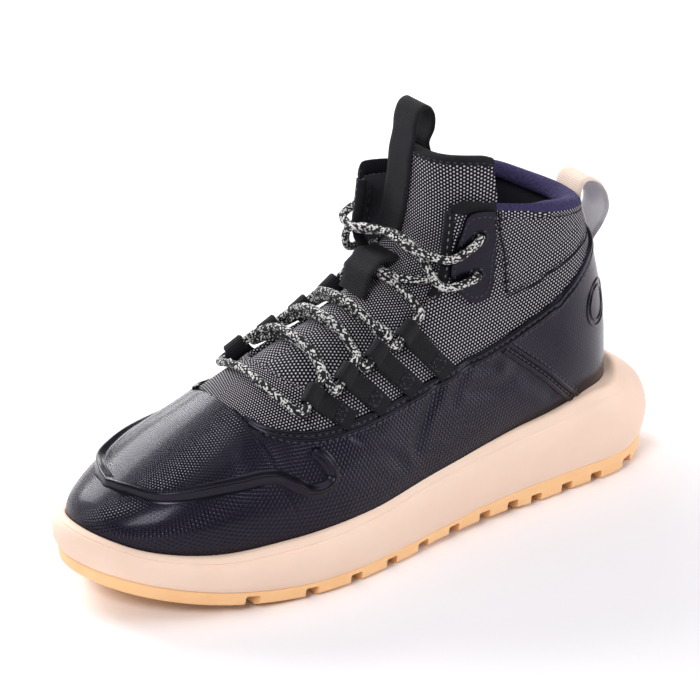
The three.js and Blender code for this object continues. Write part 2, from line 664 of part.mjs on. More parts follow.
const upper = form(0, true)
  .add(form(LEATHER_STEP, true).subtract(leatherOver))
  .add(raisedSeam())
  .subtract(form(-WALL, true))
  .subtract(sole(WALL + MARGIN, -BED_BELOW, BED_ABOVE))
  .subtract(throatStrip(0, THROAT_BACK, THROAT_END))
  .subtract(collarCut);
add("upper", upper, 0x2b2937, 0.5);

// Insole: a plate on the midsole, inside the upper's turned edge
const insole = sole(WALL + MARGIN + GAP, -BED_BELOW, INSOLE).intersect(form(LEATHER_STEP));
add("insole", insole, 0x2a2347, 0.9);

// Tongue: a padded shell under the throat's edges, taller than the collar
const tongueShell = form(-WALL - GAP).subtract(form(-WALL - GAP - TONGUE));
const tongue = tongueShell
  .intersect(throatStrip(TONGUE_LAP, THROAT_BACK, THROAT_END + TONGUE_LAP / LENGTH))
  .subtract(over(TONGUE_EDGE, 0.1, 0.6, 16));
add("tongue", tongue, 0x3a3a40, 0.9);

// Padded collar: a roll along the top of the ankle's wall, slim where it ends at the throat
function makeCollar() {
  const places = Array.from({ length: COLLAR_STATIONS + 1 }, (_, i) => {
    const share = (1 + Math.cos((Math.PI * i) / COLLAR_STATIONS)) / 2;
    return COLLAR_BACK + (COLLAR_FRONT - COLLAR_BACK) * share;
  });
  const ring = (at, sign) => {
    const edge = seat(at, read(COLLAR_EDGE, "up", at), sign);
    const inward = new THREE.Vector3(-edge.normal.x, -edge.normal.y, 0).normalize();
    const depth = BINDING_DEPTH + (COLLAR_DEPTH - BINDING_DEPTH) * ease((0.29 - at) / 0.07);
    return [...COLLAR_PROFILE].reverse().map(({ inward: share, up }) => {
      const corner = edge.point.clone().addScaledVector(inward, share * depth);
      const wallTop = height(read(COLLAR_EDGE, "up", (HEEL_CENTRE - corner.y) / LENGTH));
      return corner.setZ(wallTop + GAP + up * COLLAR_HEIGHT);
    });
  };
  const outer = places.map((at) => ring(at, 1));
  const inner = places.slice(0, -1).map((at) => ring(at, -1));
  return solid(loft([...outer, ...inner.reverse()]));
}
add("collar_roll", makeCollar(), 0x2a2347, 0.95);

// A ribbon of webbing that runs in a side view along a line of points and lies across the boot
function ribbon(line, thickness, width, steps, middle) {
  const corners = line.map(([along, up]) => new THREE.Vector3(along, up, 0));
  const curve = new THREE.CatmullRomCurve3(corners, false, "centripetal");
  const points = curve.getSpacedPoints(steps);
  const edge = (sign) =>
    points.map((spot, i) => {
      const tangent = curve.getTangentAt(i / steps);
      return [spot.x - (sign * tangent.y * thickness) / 2, spot.y + (sign * tangent.x * thickness) / 2];
    });
  return sideCutter([...edge(1), ...edge(-1).reverse()], width, middle);
}

// A point over the middle of the upper's front, as a place along and a height
function ridge(row, lift) {
  const top = (place) => spotIn(sectionSizes(place), 1, 1);
  const spot = top(row);
  const before = top(row - 0.05);
  const after = top(row + 0.05);
  const tangent = new THREE.Vector2(before.y - after.y, after.z - before.z).normalize();
  return [HEEL_CENTRE - spot.y + lift * tangent.y, spot.z - lift * tangent.x];
}

// Pull strap of the tongue: flat on its front, a loop over its edge and a leg behind it
const onTongue = -WALL - GAP;
const behindTongue = onTongue - TONGUE;
function makeStrap() {
  const front = [12.6, 13.6, 14.6, 15.6, 16.4].map((row) => ridge(row, onTongue + STRAP_GAP + WEBBING / 2));
  const behind = [16.2, 15.4].map((row) => ridge(row, behindTongue - STRAP_BACK_GAP - WEBBING / 2));
  const foot = ridge(16.8, onTongue);
  const top = height(read(TONGUE_EDGE, "up", 0.41));
  const size = STRAP_LOOP_SIZE;
  const loop = STRAP_LOOP.map(({ back, up }) => [foot[0] - back * size, top + up * size]);
  return ribbon([...front, ...loop, ...behind], WEBBING, STRAP_WIDTH, 34, centre(foot[0]) - STRAP_SHIFT);
}
add("tongue_pull_strap", makeStrap(), 0x17161c, 0.8);

// Lace keeper: a band along the middle of the tongue that arches off it
function makeKeeper() {
  const lift = onTongue + GAP + WEBBING / 2;
  const rows = [9.9, 10.2, 10.6, 11, 11.4, 11.7, 12];
  const arch = [0, 0.4, 1, 1, 1, 0.4, 0];
  const line = rows.map((row, i) => ridge(row, lift + KEEPER_ARCH * arch[i]));
  return ribbon(line, WEBBING, KEEPER_WIDTH, 12, centre(line[2][0]) - KEEPER_SHIFT);
}
add("lace_keeper", makeKeeper(), 0x17161c, 0.8);

// Heel pull loop: cream webbing from the collar back, over and down to the heel
function makePull() {
  const [low, high] = [LAST.at(-4), LAST.at(-2)];
  const lean = (high.footAt - low.footAt) / (high.footUp - low.footUp);
  const wall = (up) => (low.footAt + (up - low.footUp) * lean) * LENGTH;
  const lift = PULL_GAP + CREAM_WEBBING / 2;
  const line = PULL_LINE.map(({ out, up }) => [wall(up) - lift - out * PULL_DEPTH, height(up)]);
  return ribbon(line, CREAM_WEBBING, PULL_WIDTH, 24, centre(0));
}
add("heel_pull_loop", makePull(), 0xf1dccb, 0.8);

// Eyelet patches: smooth leather on the flaps, with two holes through patch and wall
const patchSheet = form(GAP + PATCH, true).subtract(form(GAP, true));
for (const [name, sign] of SIDES) {
  const outline = PATCH_OUTLINE.map(({ at, up }) => seat(at, up, sign).point);
  const cutter = sideCutter(
    outline.map((spot) => [HEEL_CENTRE - spot.y, spot.z]),
    BALL_WIDTH,
    (sign * BALL_WIDTH) / 2,
  );
  const holes = EYELETS.map(({ at, up }) => eyeletHole(at, up, sign));
  const patch = patchSheet.intersect(cutter).subtract(holes[0]).subtract(holes[1]);
  add(`eyelet_patch_${name}`, patch, 0x322e3c, 0.45);
}
function eyeletHole(at, up, sign) {
  const { point: spot, normal } = seat(at, up, sign);
  const hole = new THREE.CylinderGeometry(EYELET / 2, EYELET / 2, 14, 12);
  const turn = new THREE.Quaternion().setFromUnitVectors(new THREE.Vector3(0, 1, 0), normal);
  return solid(hole.applyQuaternion(turn).translate(spot.x, spot.y, spot.z));
}

// Lace loops: webbing from the leather's edge up to the throat, folded around a tunnel
const RING = TUNNEL / 2 + WEBBING;
function loopFrame(index, sign) {
  const share = index / (LOOP_COUNT - 1);
  const at = LOOP_FIRST.at + share * (LOOP_LAST.at - LOOP_FIRST.at);
  const up = LOOP_FIRST.up + share * (LOOP_LAST.up - LOOP_FIRST.up);
  const footAt = LOOP_FIRST.footAt + share * (LOOP_LAST.footAt - LOOP_FIRST.footAt);
  const footUp = read(LEATHER_EDGE, "up", footAt) + 0.012;
  const fold = seat(at, up, sign, GAP);
  const foot = seat(footAt, footUp, sign, GAP);
  const middle = seat((at + footAt) / 2, (up + footUp) / 2, sign, GAP);
  const down = foot.point.clone().sub(fold.point);
  const normal = middle.normal;
  down.addScaledVector(normal, -down.dot(normal));
  const length = down.length();
  down.normalize();
  const across = normal.clone().cross(down);
  const origin = middle.point.clone().addScaledVector(down, -length / 2);
  return { origin, down, normal, across, length };
}
function makeLoop(index, sign) {
  const { origin, down, normal, across, length } = loopFrame(index, sign);
  const shape = new THREE.Shape();
  const meet = Math.asin((WEBBING - RING) / RING);
  shape.moveTo(length, 0);
  shape.lineTo(length, WEBBING);
  shape.lineTo(RING * Math.cos(meet), WEBBING);
  shape.absarc(0, RING, RING, meet, 1.5 * Math.PI, false);
  shape.closePath();
  shape.holes.push(new THREE.Path().absarc(0, RING, TUNNEL / 2, 0, 2 * Math.PI));
  const options = { depth: LOOP_WIDTH, bevelEnabled: false, curveSegments: 5 };
  const geometry = new THREE.ExtrudeGeometry(shape, options);
  geometry.translate(0, 0, -LOOP_WIDTH / 2);
  const turn = new THREE.Matrix4().makeBasis(down, normal, across.clone().negate());
  return solid(geometry.applyMatrix4(turn.setPosition(origin)));
}
for (const [name, sign] of SIDES) {
  for (let index = 0; index < LOOP_COUNT; index += 1) {
    add(`lace_loop_${name}_${index + 1}`, makeLoop(index, sign), 0x17161c, 0.8);
  }
}

// Lace: a bar under the first loops and strands that cross over the tongue from loop to loop
// and from eyelet to eyelet. Where two strands cross they are one solid.
function rope(points, steps) {
  const path = new THREE.CatmullRomCurve3(points, false, "centripetal");
  const circle = new THREE.Shape().absarc(0, 0, LACE / 2, 0, 2 * Math.PI);
  const options = { steps, curveSegments: 4, bevelEnabled: false, extrudePath: path };
  return solid(new THREE.ExtrudeGeometry(circle, options));
}
function overTongue(row, lift) {
  const [along, up] = ridge(row, lift);
  return point(centre(along), along, up);
}
function mouth(index, sign, end, reach) {
  const { origin, normal, across } = loopFrame(index, sign);
  const rise = across.clone().multiplyScalar(Math.sign(across.y) * end);
  const out = normal.clone().multiplyScalar(RING);
  return origin.clone().add(out).addScaledVector(rise, LOOP_WIDTH / 2 + reach);
}
const onTop = (surface) => surface + LACE_GAP + LACE / 2;
const flank = (row, sign, lift) => spotOn(row, FLANK_TURN, sign, lift).point;
function across(row, sign, lift) {
  return [flank(row, sign, lift), overTongue(row, lift), flank(row, -sign, lift)];
}
const leave = (index, sign) => [MOUTH_GAP, MOUTH_LEAD].map((reach) => mouth(index, sign, 1, reach));
const enter = (index, sign) => [MOUTH_LEAD, MOUTH_GAP].map((reach) => mouth(index, sign, -1, reach));
const bar = [...enter(0, 1).reverse(), ...across(BAR_ROW, 1, onTop(0)), ...enter(0, -1)];
add("lace_bar", rope(bar, 8), 0x2c2c30, 0.8);
const strands = (surface, step = LACE_STEP) => [[1, onTop(surface)], [-1, onTop(surface) + step]];
for (let index = 0; index + 1 < LOOP_COUNT; index += 1) {
  const [lower, upper] = strands(onTongue).map(([sign, lift]) =>
    rope([...leave(index, sign), ...across(CROSSING_ROWS[index], sign, lift), ...enter(index + 1, -sign)], 7),
  );
  add(`lace_crossing_${index + 1}`, lower.add(upper), 0x2c2c30, 0.8);
}
const underFlaps = strands(onTongue, KEEPER_STEP).map(([sign, lift]) => {
  const start = [...leave(LOOP_COUNT - 1, sign), flank(FLAP_CROSSING_ROW, sign, lift)];
  const end = spotOn(FLAP_END.row, FLAP_END.turn, -sign, onTop(onTongue)).point;
  return rope([...start, overTongue(FLAP_CROSSING_ROW, lift), end], 7);
});
add(`lace_crossing_${LOOP_COUNT}`, underFlaps[0].add(underFlaps[1]), 0x2c2c30, 0.8);
const overFlaps = strands(onTongue + GAP + WEBBING).map(([sign, lift]) => {
  const high = onTop(GAP + PATCH) + FLAP_SLACK;
  const ends = EYELETS.map(({ at, up }, i) => seat(at, up, i ? -sign : sign, high).point);
  const edges = FLAP_EDGES.map(({ row, turn, flaredTurn }, i) => {
    const side = i ? -sign : sign;
    return spotOn(row, side < 0 ? flaredTurn : turn, side, onTop(0) + FLAP_SLACK).point;
  });
  return rope([ends[0], edges[0], ...across(TOP_CROSSING_ROW, sign, lift), edges[1], ends[1]], 10);
});
add(`lace_crossing_${LOOP_COUNT + 1}`, overFlaps[0].add(overFlaps[1]), 0x2c2c30, 0.8);

export default boot;
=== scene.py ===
"""A mid-height lace-up sneaker boot for the left foot, dressed around its CAD frame.

Shapes are worked out in millimetres and brought to metres when a piece is finished. A place along
the boot is counted from the back of the heel, and a height from the floor.
"""

from functools import lru_cache
from math import atan, ceil, copysign, cos, exp, hypot, pi, radians, sin, sqrt

import bmesh
import bpy
from mathutils import Matrix, Vector


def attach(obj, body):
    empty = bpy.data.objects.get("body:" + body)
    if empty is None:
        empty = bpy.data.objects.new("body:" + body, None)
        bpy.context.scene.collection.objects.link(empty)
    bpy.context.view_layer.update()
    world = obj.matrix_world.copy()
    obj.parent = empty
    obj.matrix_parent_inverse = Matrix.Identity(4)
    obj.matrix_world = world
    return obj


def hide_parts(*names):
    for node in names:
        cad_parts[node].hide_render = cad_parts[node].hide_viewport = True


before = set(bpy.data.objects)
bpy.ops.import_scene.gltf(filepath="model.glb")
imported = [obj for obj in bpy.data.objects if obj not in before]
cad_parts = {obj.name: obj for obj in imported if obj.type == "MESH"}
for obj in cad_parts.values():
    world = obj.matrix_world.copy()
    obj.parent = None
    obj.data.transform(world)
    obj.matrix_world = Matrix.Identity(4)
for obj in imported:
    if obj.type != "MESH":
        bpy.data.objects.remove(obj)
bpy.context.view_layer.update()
MM = 0.001

# Sizes of the sole, as in the CAD source
LENGTH = 304
HEEL_WIDTH = 80
BALL_WIDTH = 108.6
HEEL_ROUND = 45
TOE_ROUND = 89
TOE_SPRING = 16
SPRING_LENGTH = 99
HEEL_BEVEL = 5
BEVEL_LENGTH = 34
ARCH_RAISE = 1.5
OUTSOLE_INSET = 2
LUG_TAPER = 4
LUG_HEIGHT = 2.2
CHANNEL_WIDTH = 5
CHANNEL_DEPTH = 4
GROOVE_WIDTH = 5
OUTSOLE_FRONT = 7.8
OUTSOLE_HEEL = 10.8
SIDEWALL_HEEL = 50
BED_FRONT = 20
BED_HEEL = 32
RIM_INSET = 5

# Sizes of the upper, tongue and collar
SHAFT_HEIGHT = 150
WALL = 2.5
LEATHER_STEP = 1
THROAT_FRONT = 48
THROAT_TOP = 50
THROAT_END = 0.64
FLARE_INNER = 13
FLARE_OUTER = 2
TONGUE = 4.5
TONGUE_LAP = 9
COLLAR_HEIGHT = 6.5
COLLAR_DEPTH = 10
BINDING_DEPTH = 2.2
INSOLE = 5
INSOLE_INSET = 14.1
INSOLE_HEEL_INSET = 27.8
GAP = 0.3

# Sizes of straps, loops, lace and eyelets
WEBBING = 1.5
LOOP_WIDTH = 9.5
LOOP_COUNT = 4
LACE = 4.4
LACE_GAP = 0.6
LACE_STEP = 3.6
FLAP_SLACK = 2.2
KEEPER_STEP = 2
TUNNEL = 5.4
PATCH = 1.6
EYELET = 5.6
STRAP_WIDTH = 17
STRAP_LOOP_SIZE = 19
STRAP_SHIFT = 7
STRAP_GAP = 0.5
STRAP_BACK_GAP = 4.8
KEEPER_SHIFT = 3
KEEPER_WIDTH = 20
KEEPER_ARCH = 6.9
PULL_WIDTH = 19
PULL_DEPTH = 15
PULL_GAP = 0.9
CREAM_WEBBING = 1.8
SIDES = (("lateral", 1), ("medial", -1))

# Sizes of what only the looks show
CHANNEL_WIDER = 1.4
CHANNEL_DEEPER = 1.8
SIPE_PITCH = 3.1
SIPE_WIDTH = 1.1
SIPE_DEPTH = 0.9
SIPE_RANGE = (14.0, 286)
SIPE_CLEAR = 4.6
SIPE_MARGIN = 11
SEAM_RISE = 3.0
SEAM_SPREAD = 1.9
LEATHER_FOLDS = ((1.2, 0.8, 0.75), (3.8, 0.75, 0.65))
LACE_DRAWN = LACE * 0.86
MOUTH_GAP = 0.8
MOUTH_LEAD = 4.5
FLAP_FOOT = 116
EVENING_PASSES = 6
DOT_PITCH = 1.6
GRAIN_PITCH = 1.9
CARRIERS = 15
FLECK = 1.25


def rows(names, *values):
    """A table: the names of its columns and its rows of numbers."""
    return [dict(zip(names.split(), entry)) for entry in values]


# Outline of the sole from above, in shares of the length, the step in width and the ball's width
PLAN = rows(
    "at width lean",
    (0, 0, 0.009), (0.148, 0, 0.009), (0.263, 0.02, 0.02), (0.362, 0.02, 0.04),
    (0.461, 0.19, 0.052), (0.559, 0.55, 0.053), (0.658, 0.91, 0.037), (0.74, 1, 0.007),
    (0.822, 1, -0.018), (0.888, 0.99, -0.033), (1, 0.98, -0.055),
)
CHANNELS = (0.086, 0.154, 0.211, 0.271, 0.318, 0.372, 0.434, 0.495, 0.561, 0.63, 0.707, 0.799)
HEEL_CENTRE = LENGTH * (CHANNELS[1] + CHANNELS[2]) / 2
GROOVE = rows("at side", (0.086, 0.13), (0.434, 0.13), (0.66, 0.19), (0.799, 0.17))
RIM = rows(
    "at rim",
    (0, 0.95), (0.06, 0.95), (0.1, 0.9), (0.145, 0.91), (0.178, 0.88), (0.234, 0.83),
    (0.309, 0.8), (0.4, 0.755), (0.493, 0.705), (0.572, 0.644), (0.632, 0.62), (0.743, 0.566),
    (0.842, 0.476), (0.924, 0.452), (0.967, 0.475), (1, 0.5),
)
WALL_PROFILE = rows(
    "up inset heel",
    (0, 0.4, -0.01), (0.2, 0.08, -0.045), (0.48, 0, 0.02),
    (0.66, 0.1, 0.13), (0.84, 0.4, 0.28), (1, 1, 0.41),
)

# Sections of the upper from the tip of the toe back along the sole and up the heel
LAST = rows(
    "row footAt footUp topAt topUp half flat low crown",
    (0, 0.977, 0.004, 0.977, 0.03, 0.424, 0.8, 0.5, 2.1),
    (1, 0.972, -0.02, 0.973, 0.062, 0.424, 0.8, 0.5, 2.1),
    (2, 0.956, -0.026, 0.959, 0.106, 0.424, 0.8, 0.45, 2.1),
    (3, 0.924, -0.02, 0.931, 0.153, 0.424, 0.8, 0.36, 2.1),
    (4, 0.872, -0.01, 0.885, 0.225, 0.424, 0.8, 0.28, 2.1),
    (5, 0.803, 0, 0.826, 0.303, 0.424, 0.8, 0.24, 2.1),
    (6, 0.72, 0, 0.757, 0.386, 0.424, 0.8, 0.22, 2),
    (7, 0.632, 0, 0.684, 0.474, 0.417, 0.8, 0.2, 2),
    (8, 0.536, 0, 0.618, 0.54, 0.382, 0.8, 0.2, 2.1),
    (9, 0.441, 0, 0.559, 0.58, 0.342, 0.8, 0.2, 2.3),
    (10, 0.349, 0, 0.513, 0.613, 0.32, 0.78, 0.22, 2.5),
    (11, 0.26, 0, 0.48, 0.648, 0.31, 0.72, 0.25, 2.7),
    (12, 0.178, 0, 0.457, 0.693, 0.31, 0.6, 0.3, 2.8),
    (13, 0.109, 0.01, 0.442, 0.742, 0.313, 0.35, 0.35, 2.8),
    (14, 0.08, 0.067, 0.433, 0.8, 0.322, 0.1, 0.4, 2.8),
    (15, 0.076, 0.187, 0.426, 0.865, 0.326, 0, 0.42, 2.8),
    (16, 0.084, 0.333, 0.421, 0.931, 0.33, 0, 0.45, 2.8),
    (17, 0.098, 0.467, 0.418, 1.003, 0.333, 0, 0.45, 2.8),
    (18, 0.116, 0.593, 0.416, 1.083, 0.336, 0, 0.45, 2.8),
    (19, 0.134, 0.72, 0.414, 1.163, 0.338, 0, 0.45, 2.8),
    (20, 0.144, 0.8, 0.414, 1.23, 0.34, 0, 0.45, 2.8),
)
LEATHER_EDGE = rows(
    "at up",
    (0.1, 0.57), (0.145, 0.55), (0.178, 0.507), (0.211, 0.467), (0.247, 0.427), (0.28, 0.4),
    (0.316, 0.373), (0.359, 0.353), (0.464, 0.313), (0.563, 0.28), (0.66, 0.267),
    (0.694, 0.272), (0.724, 0.285), (0.74, 0.303), (0.75, 0.335),
)
COLLAR_EDGE = rows(
    "at up",
    (0.066, 0.635), (0.12, 0.643), (0.174, 0.68), (0.266, 0.725),
    (0.319, 0.752), (0.405, 0.795), (0.5, 0.84),
)
TONGUE_EDGE = rows("at up", (0.27, 0.82), (0.31, 0.89), (0.36, 0.937), (0.41, 0.942), (0.46, 0.942))
COLLAR_PROFILE = rows(
    "inward up",
    (0.12, -0.08), (0, 0.35), (0.1, 0.78), (0.4, 1), (0.75, 0.9), (1, 0.45), (0.95, 0.1), (0.6, -0.08),
)
STRAP_LOOP = rows(
    "back up",
    (0.03, 0.3), (0.08, 0.68), (0.22, 0.94), (0.42, 0.98), (0.58, 0.75), (0.57, 0.4), (0.42, 0.1),
)
PULL_LINE = rows(
    "out up",
    (0, 0.57), (0, 0.61), (0.05, 0.655), (0.4, 0.697), (0.8, 0.685),
    (1, 0.642), (0.95, 0.59), (0.55, 0.54), (0.12, 0.503), (0, 0.48),
)
PATCH_OUTLINE = rows(
    "at up",
    (0.375, 0.79), (0.339, 0.785), (0.332, 0.765), (0.339, 0.627), (0.352, 0.515),
    (0.375, 0.507), (0.395, 0.54), (0.405, 0.593), (0.396, 0.673), (0.385, 0.74),
)
EYELETS = rows("at up", (0.368, 0.593), (0.362, 0.713))
LOOP_FIRST = {"at": 0.653, "up": 0.348, "foot": 0.612}
LOOP_LAST = {"at": 0.49, "up": 0.471, "foot": 0.438}
BAR_ROW = 6.8
CROSSING_ROWS = (7.9, 8.7, 9.4)
FLAP_CROSSING_ROW = 11
FLAP_END = (11.6, 0.72)
FLANK_TURN = 0.8
TOP_CROSSING_ROW = 12.9
FLAP_EDGES = ((12.1, 0.56, 0.66), (13.6, 0.56, 0.66))
TOE_SEAM = rows(
    "at up",
    (0.674, 0.22), (0.658, 0.182), (0.653, 0.135), (0.67, 0.112), (0.695, 0.116), (0.714, 0.145),
    (0.732, 0.165), (0.755, 0.17), (0.782, 0.165), (0.819, 0.158), (0.856, 0.147),
    (0.888, 0.14), (0.913, 0.142), (0.926, 0.15), (0.93, 0.16),
)


# Reading the tables
def read(table, column, place, key="at"):
    """Value of a column at a place, along a smooth curve that does not overshoot."""
    last = len(table) - 1
    if place <= table[0][key]:
        return table[0][column]
    if place >= table[last][key]:
        return table[last][column]
    low = next(i for i, entry in enumerate(table) if entry[key] > place) - 1

    def slope(i):
        return (table[i + 1][column] - table[i][column]) / (table[i + 1][key] - table[i][key])

    def tangent(i):
        if i == 0:
            return slope(0)
        if i == last:
            return slope(last - 1)
        before, after = slope(i - 1), slope(i)
        return 0 if before * after <= 0 else 2 * before * after / (before + after)

    step = table[low + 1][key] - table[low][key]
    t = (place - table[low][key]) / step
    rise = table[low + 1][column] - table[low][column]
    start, end = tangent(low) * step, tangent(low + 1) * step
    bend = 3 * rise - 2 * start - end + t * (start + end - 2 * rise)
    return table[low][column] + t * (start + t * bend)


def clamp(value):
    return min(1.0, max(0.0, value))


def ease(value):
    return clamp(value) ** 2 * (3 - 2 * clamp(value))


def point(side, along, up):
    """A point at a distance ahead of the heel's back, sideways and up."""
    return Vector((side, HEEL_CENTRE - along, up))


def along_of(spot):
    return HEEL_CENTRE - spot.y


def height(up):
    return BED_HEEL + up * SHAFT_HEIGHT


# The sole's outline and levels
CENTRES = [read(PLAN, "lean", i / 500) * BALL_WIDTH for i in range(501)]


def centre(along):
    """Sideways place of the sole's centre line."""
    place = clamp(along / LENGTH) * 499.999
    low = int(place)
    return CENTRES[low] + (place - low) * (CENTRES[low + 1] - CENTRES[low])


def half_width(along, inset=0.0, heel_inset=0.0):
    side = (HEEL_WIDTH + read(PLAN, "width", along / LENGTH) * (BALL_WIDTH - HEEL_WIDTH)) / 2 - inset
    heel = clamp((HEEL_ROUND - along) / (HEEL_ROUND - heel_inset))
    toe = clamp((along - LENGTH + TOE_ROUND) / (TOE_ROUND - inset))
    return side * sqrt(1 - heel**2) * sqrt(1 - toe**2.2)


def underside(along):
    toe = clamp((along - LENGTH + SPRING_LENGTH) / SPRING_LENGTH)
    heel = clamp((BEVEL_LENGTH - along) / BEVEL_LENGTH)
    return TOE_SPRING * toe**2 + HEEL_BEVEL * heel**2


def outsole_top(along):
    heel = ease((0.53 - along / LENGTH) / 0.22)
    return underside(along) + OUTSOLE_FRONT + (OUTSOLE_HEEL - OUTSOLE_FRONT) * heel


def rim_height(along):
    return underside(along) + read(RIM, "rim", along / LENGTH) * SIDEWALL_HEEL


def bed_height(along):
    slope = (BED_HEEL - BED_FRONT) * ease((0.64 - along / LENGTH) / 0.4)
    return BED_FRONT + slope + 0.8 * underside(max(along, HEEL_ROUND))


# The upper's form: a spot lies on a section, at a turn from -1 at the bottom to 1 at the top
LAST_ROW = LAST[-1]["row"]
SIZE_STEP = 0.02


def measure(row):
    """Sizes of one section, worked out from the table."""
    value = {name: read(LAST, name, row, "row") for name in LAST[0] if name != "row"}
    foot, top = value["footAt"] * LENGTH, value["topAt"] * LENGTH
    foot_up = bed_height(foot) + value["footUp"] * SHAFT_HEIGHT
    top_up = bed_height(top) + value["topUp"] * SHAFT_HEIGHT
    tip, toe_start = LAST[0]["footAt"] * LENGTH, LENGTH - TOE_ROUND
    toe = clamp((foot + value["low"] * (top - foot) - toe_start) / (tip - toe_start))
    half = value["half"] * BALL_WIDTH
    return foot, top, foot_up, top_up, value["low"], toe, half, value["flat"], value["crown"]


SIZES = [measure(i * SIZE_STEP) for i in range(int(LAST_ROW / SIZE_STEP) + 2)]


def sizes(row):
    place = min(LAST_ROW, max(0, row)) / SIZE_STEP
    low = int(place)
    share = place - low
    return [a + share * (b - a) for a, b in zip(SIZES[low], SIZES[low + 1])]


def flare(corner):
    """The flaps beside the throat stand off from the tongue at the ankle."""
    along = along_of(corner)
    across = corner.x - centre(along)
    up = (corner.z - BED_HEEL) / SHAFT_HEIGHT
    reach = ease((along / LENGTH - 0.32) / 0.09) * ease((up - 0.52) / 0.18)
    if not reach:
        return corner
    amount = (FLARE_INNER if across < 0 else FLARE_OUTER) * reach * clamp(abs(across) / 20)
    return corner + Vector((0.45 * copysign(amount, across), -0.9 * amount, 0))


def spot(row, turn, sign, flared=True):
    """A spot of the upper's form."""
    foot, top, foot_up, top_up, low, toe, half, flat, crown = sizes(row)
    half *= sqrt(1 - min(1, toe) ** 2.2)
    flat *= half
    if turn < 0:
        angle = pi / 2 * (1 + turn)
        across = flat + (half - flat) * sin(angle)
        share = low * (1 - cos(angle))
    else:
        angle = pi / 2 * min(1, turn)
        across = half * max(0, cos(angle)) ** (2 / crown)
        share = low + (1 - low) * sin(angle) ** (2 / crown)
    along = foot + share * (top - foot)
    corner = point(centre(along) + sign * across, along, foot_up + share * (top_up - foot_up))
    return flare(corner) if flared else corner


def spot_normal(row, turn, sign, flared=True):
    small = 0.02
    level = min(1 - small, max(small - 1, turn))
    along_row = spot(row + small, turn, sign, flared) - spot(row - small, turn, sign, flared)
    around = spot(row, level + small, sign, flared) - spot(row, level - small, sign, flared)
    return (along_row.cross(around) * sign).normalized()


def lifted(row, turn, sign, lift):
    return spot(row, turn, sign) + spot_normal(row, turn, sign) * lift


def from_side(row, turn):
    """A section and turn with the place along and the height where they are seen from the side."""
    corner = spot(row, turn, 1, False)
    return row, turn, along_of(corner), corner.z


SEARCH = [from_side(row / 4, turn / 10) for row in range(4 * LAST_ROW) for turn in range(-10, 11)]


def find(along, up):
    """Section and turn of the spot that lies at a place along and a height, seen from the side."""

    def miss(entry):
        return hypot(entry[2] - along, entry[3] - up)

    best = min(SEARCH, key=miss)
    step = 0.5
    while step > 0.002:
        for row_step, turn_step in ((step, 0), (-step, 0), (0, step * 0.3), (0, -step * 0.3)):
            near = min(LAST_ROW, max(0, best[0] + row_step)), min(1, max(-1, best[1] + turn_step))
            best = min(best, from_side(*near), key=miss)
        step /= 1.6
    return best[:2]


def seat(at, up, sign, lift=0.0):
    """A point over the form and its normal, from a place and a height as shares."""
    row, turn = find(at * LENGTH, height(up))
    normal = spot_normal(row, turn, sign)
    return spot(row, turn, sign) + normal * lift, normal


def bisect(low, high, over):
    """Where a test turns true between two numbers."""
    for _ in range(26):
        middle = (low + high) / 2
        if over(middle):
            high = middle
        else:
            low = middle
    return (low + high) / 2


def strip_half(along, widen):
    """Half width of the throat, or of a wider strip around it, with its round front end."""
    at = along / LENGTH
    front = THROAT_END + widen / LENGTH
    half = (THROAT_TOP + (THROAT_FRONT - THROAT_TOP) * ease((min(at, front) - 0.4) / 0.1)) / 2 + widen
    ahead = (along - front * LENGTH) / (half * 0.5)
    return half * sqrt(1 - min(1, max(0, ahead)) ** 2)


@lru_cache(maxsize=None)
def throat_turn(row, sign, widen=0.0, flared=True):
    """Turn at which a section meets the throat's edge, or 1 ahead of the throat."""

    def inside(turn):
        corner = spot(row, turn, sign, flared)
        along = along_of(corner)
        return abs(corner.x - centre(along)) < strip_half(along, widen)

    return bisect(0, 1, inside) if inside(0.9999) else 1.0


def above_edge(edge, corner):
    return corner.z > height(read(edge, "up", along_of(corner) / LENGTH))


@lru_cache(maxsize=None)
def leather_turn(row, sign):
    """Turn at which a section leaves the leather."""

    def above(turn):
        corner = spot(row, turn, sign)
        return along_of(corner) / LENGTH < 0.75 and above_edge(LEATHER_EDGE, corner)

    return bisect(-1, 1, above) if above(0.9999) else 1.0


def top_row(share, sign, edge, turn_of, flared=True):
    """Section at which a column of the shell reaches an edge line."""

    def above(row):
        return above_edge(edge, spot(row, turn_of(row, sign, share), sign, flared))

    return bisect(9, LAST_ROW, above)


# Creases of the worn-in shape: depth, half width and a line of (side, along, up) points
CREASE_LINES = (
    (0.45, 5.0, ((36, 236, 54), (28, 232, 66), (14, 231, 74))),
    (0.5, 4.5, ((46, 222, 50), (41, 219, 60), (36, 219, 67))),
    (1.4, 4.0, ((41, 184, 66), (43, 172, 56), (43, 160, 46))),
    (1.2, 4.0, ((40, 136, 75), (42, 146, 62), (43, 152, 50))),
    (1.0, 3.6, ((40, 116, 82), (40, 124, 74), (41, 128, 66))),
    (0.8, 4.5, ((38, 118, 67), (38, 106, 65), (37, 96, 66))),
    (0.8, 4.0, ((37, 121, 83), (37, 112, 77), (37, 104, 75))),
    (0.8, 5.5, ((36, 92, 70), (36, 80, 60), (36, 70, 52))),
    (1.0, 4.0, ((40, 124, 92), (39, 112, 95), (39, 100, 101))),
    (0.9, 4.0, ((40, 118, 106), (39, 108, 110), (39, 99, 116))),
    (0.8, 4.0, ((38, 86, 118), (37, 72, 122), (34, 58, 128))),
    (0.9, 4.5, ((-34, 236, 52), (-36, 222, 56), (-34, 208, 62))),
    (0.9, 4.5, ((-34, 150, 76), (-34, 130, 72), (-34, 112, 70))),
    (0.9, 4.0, ((-34, 124, 92), (-34, 110, 96), (-34, 98, 103))),
)
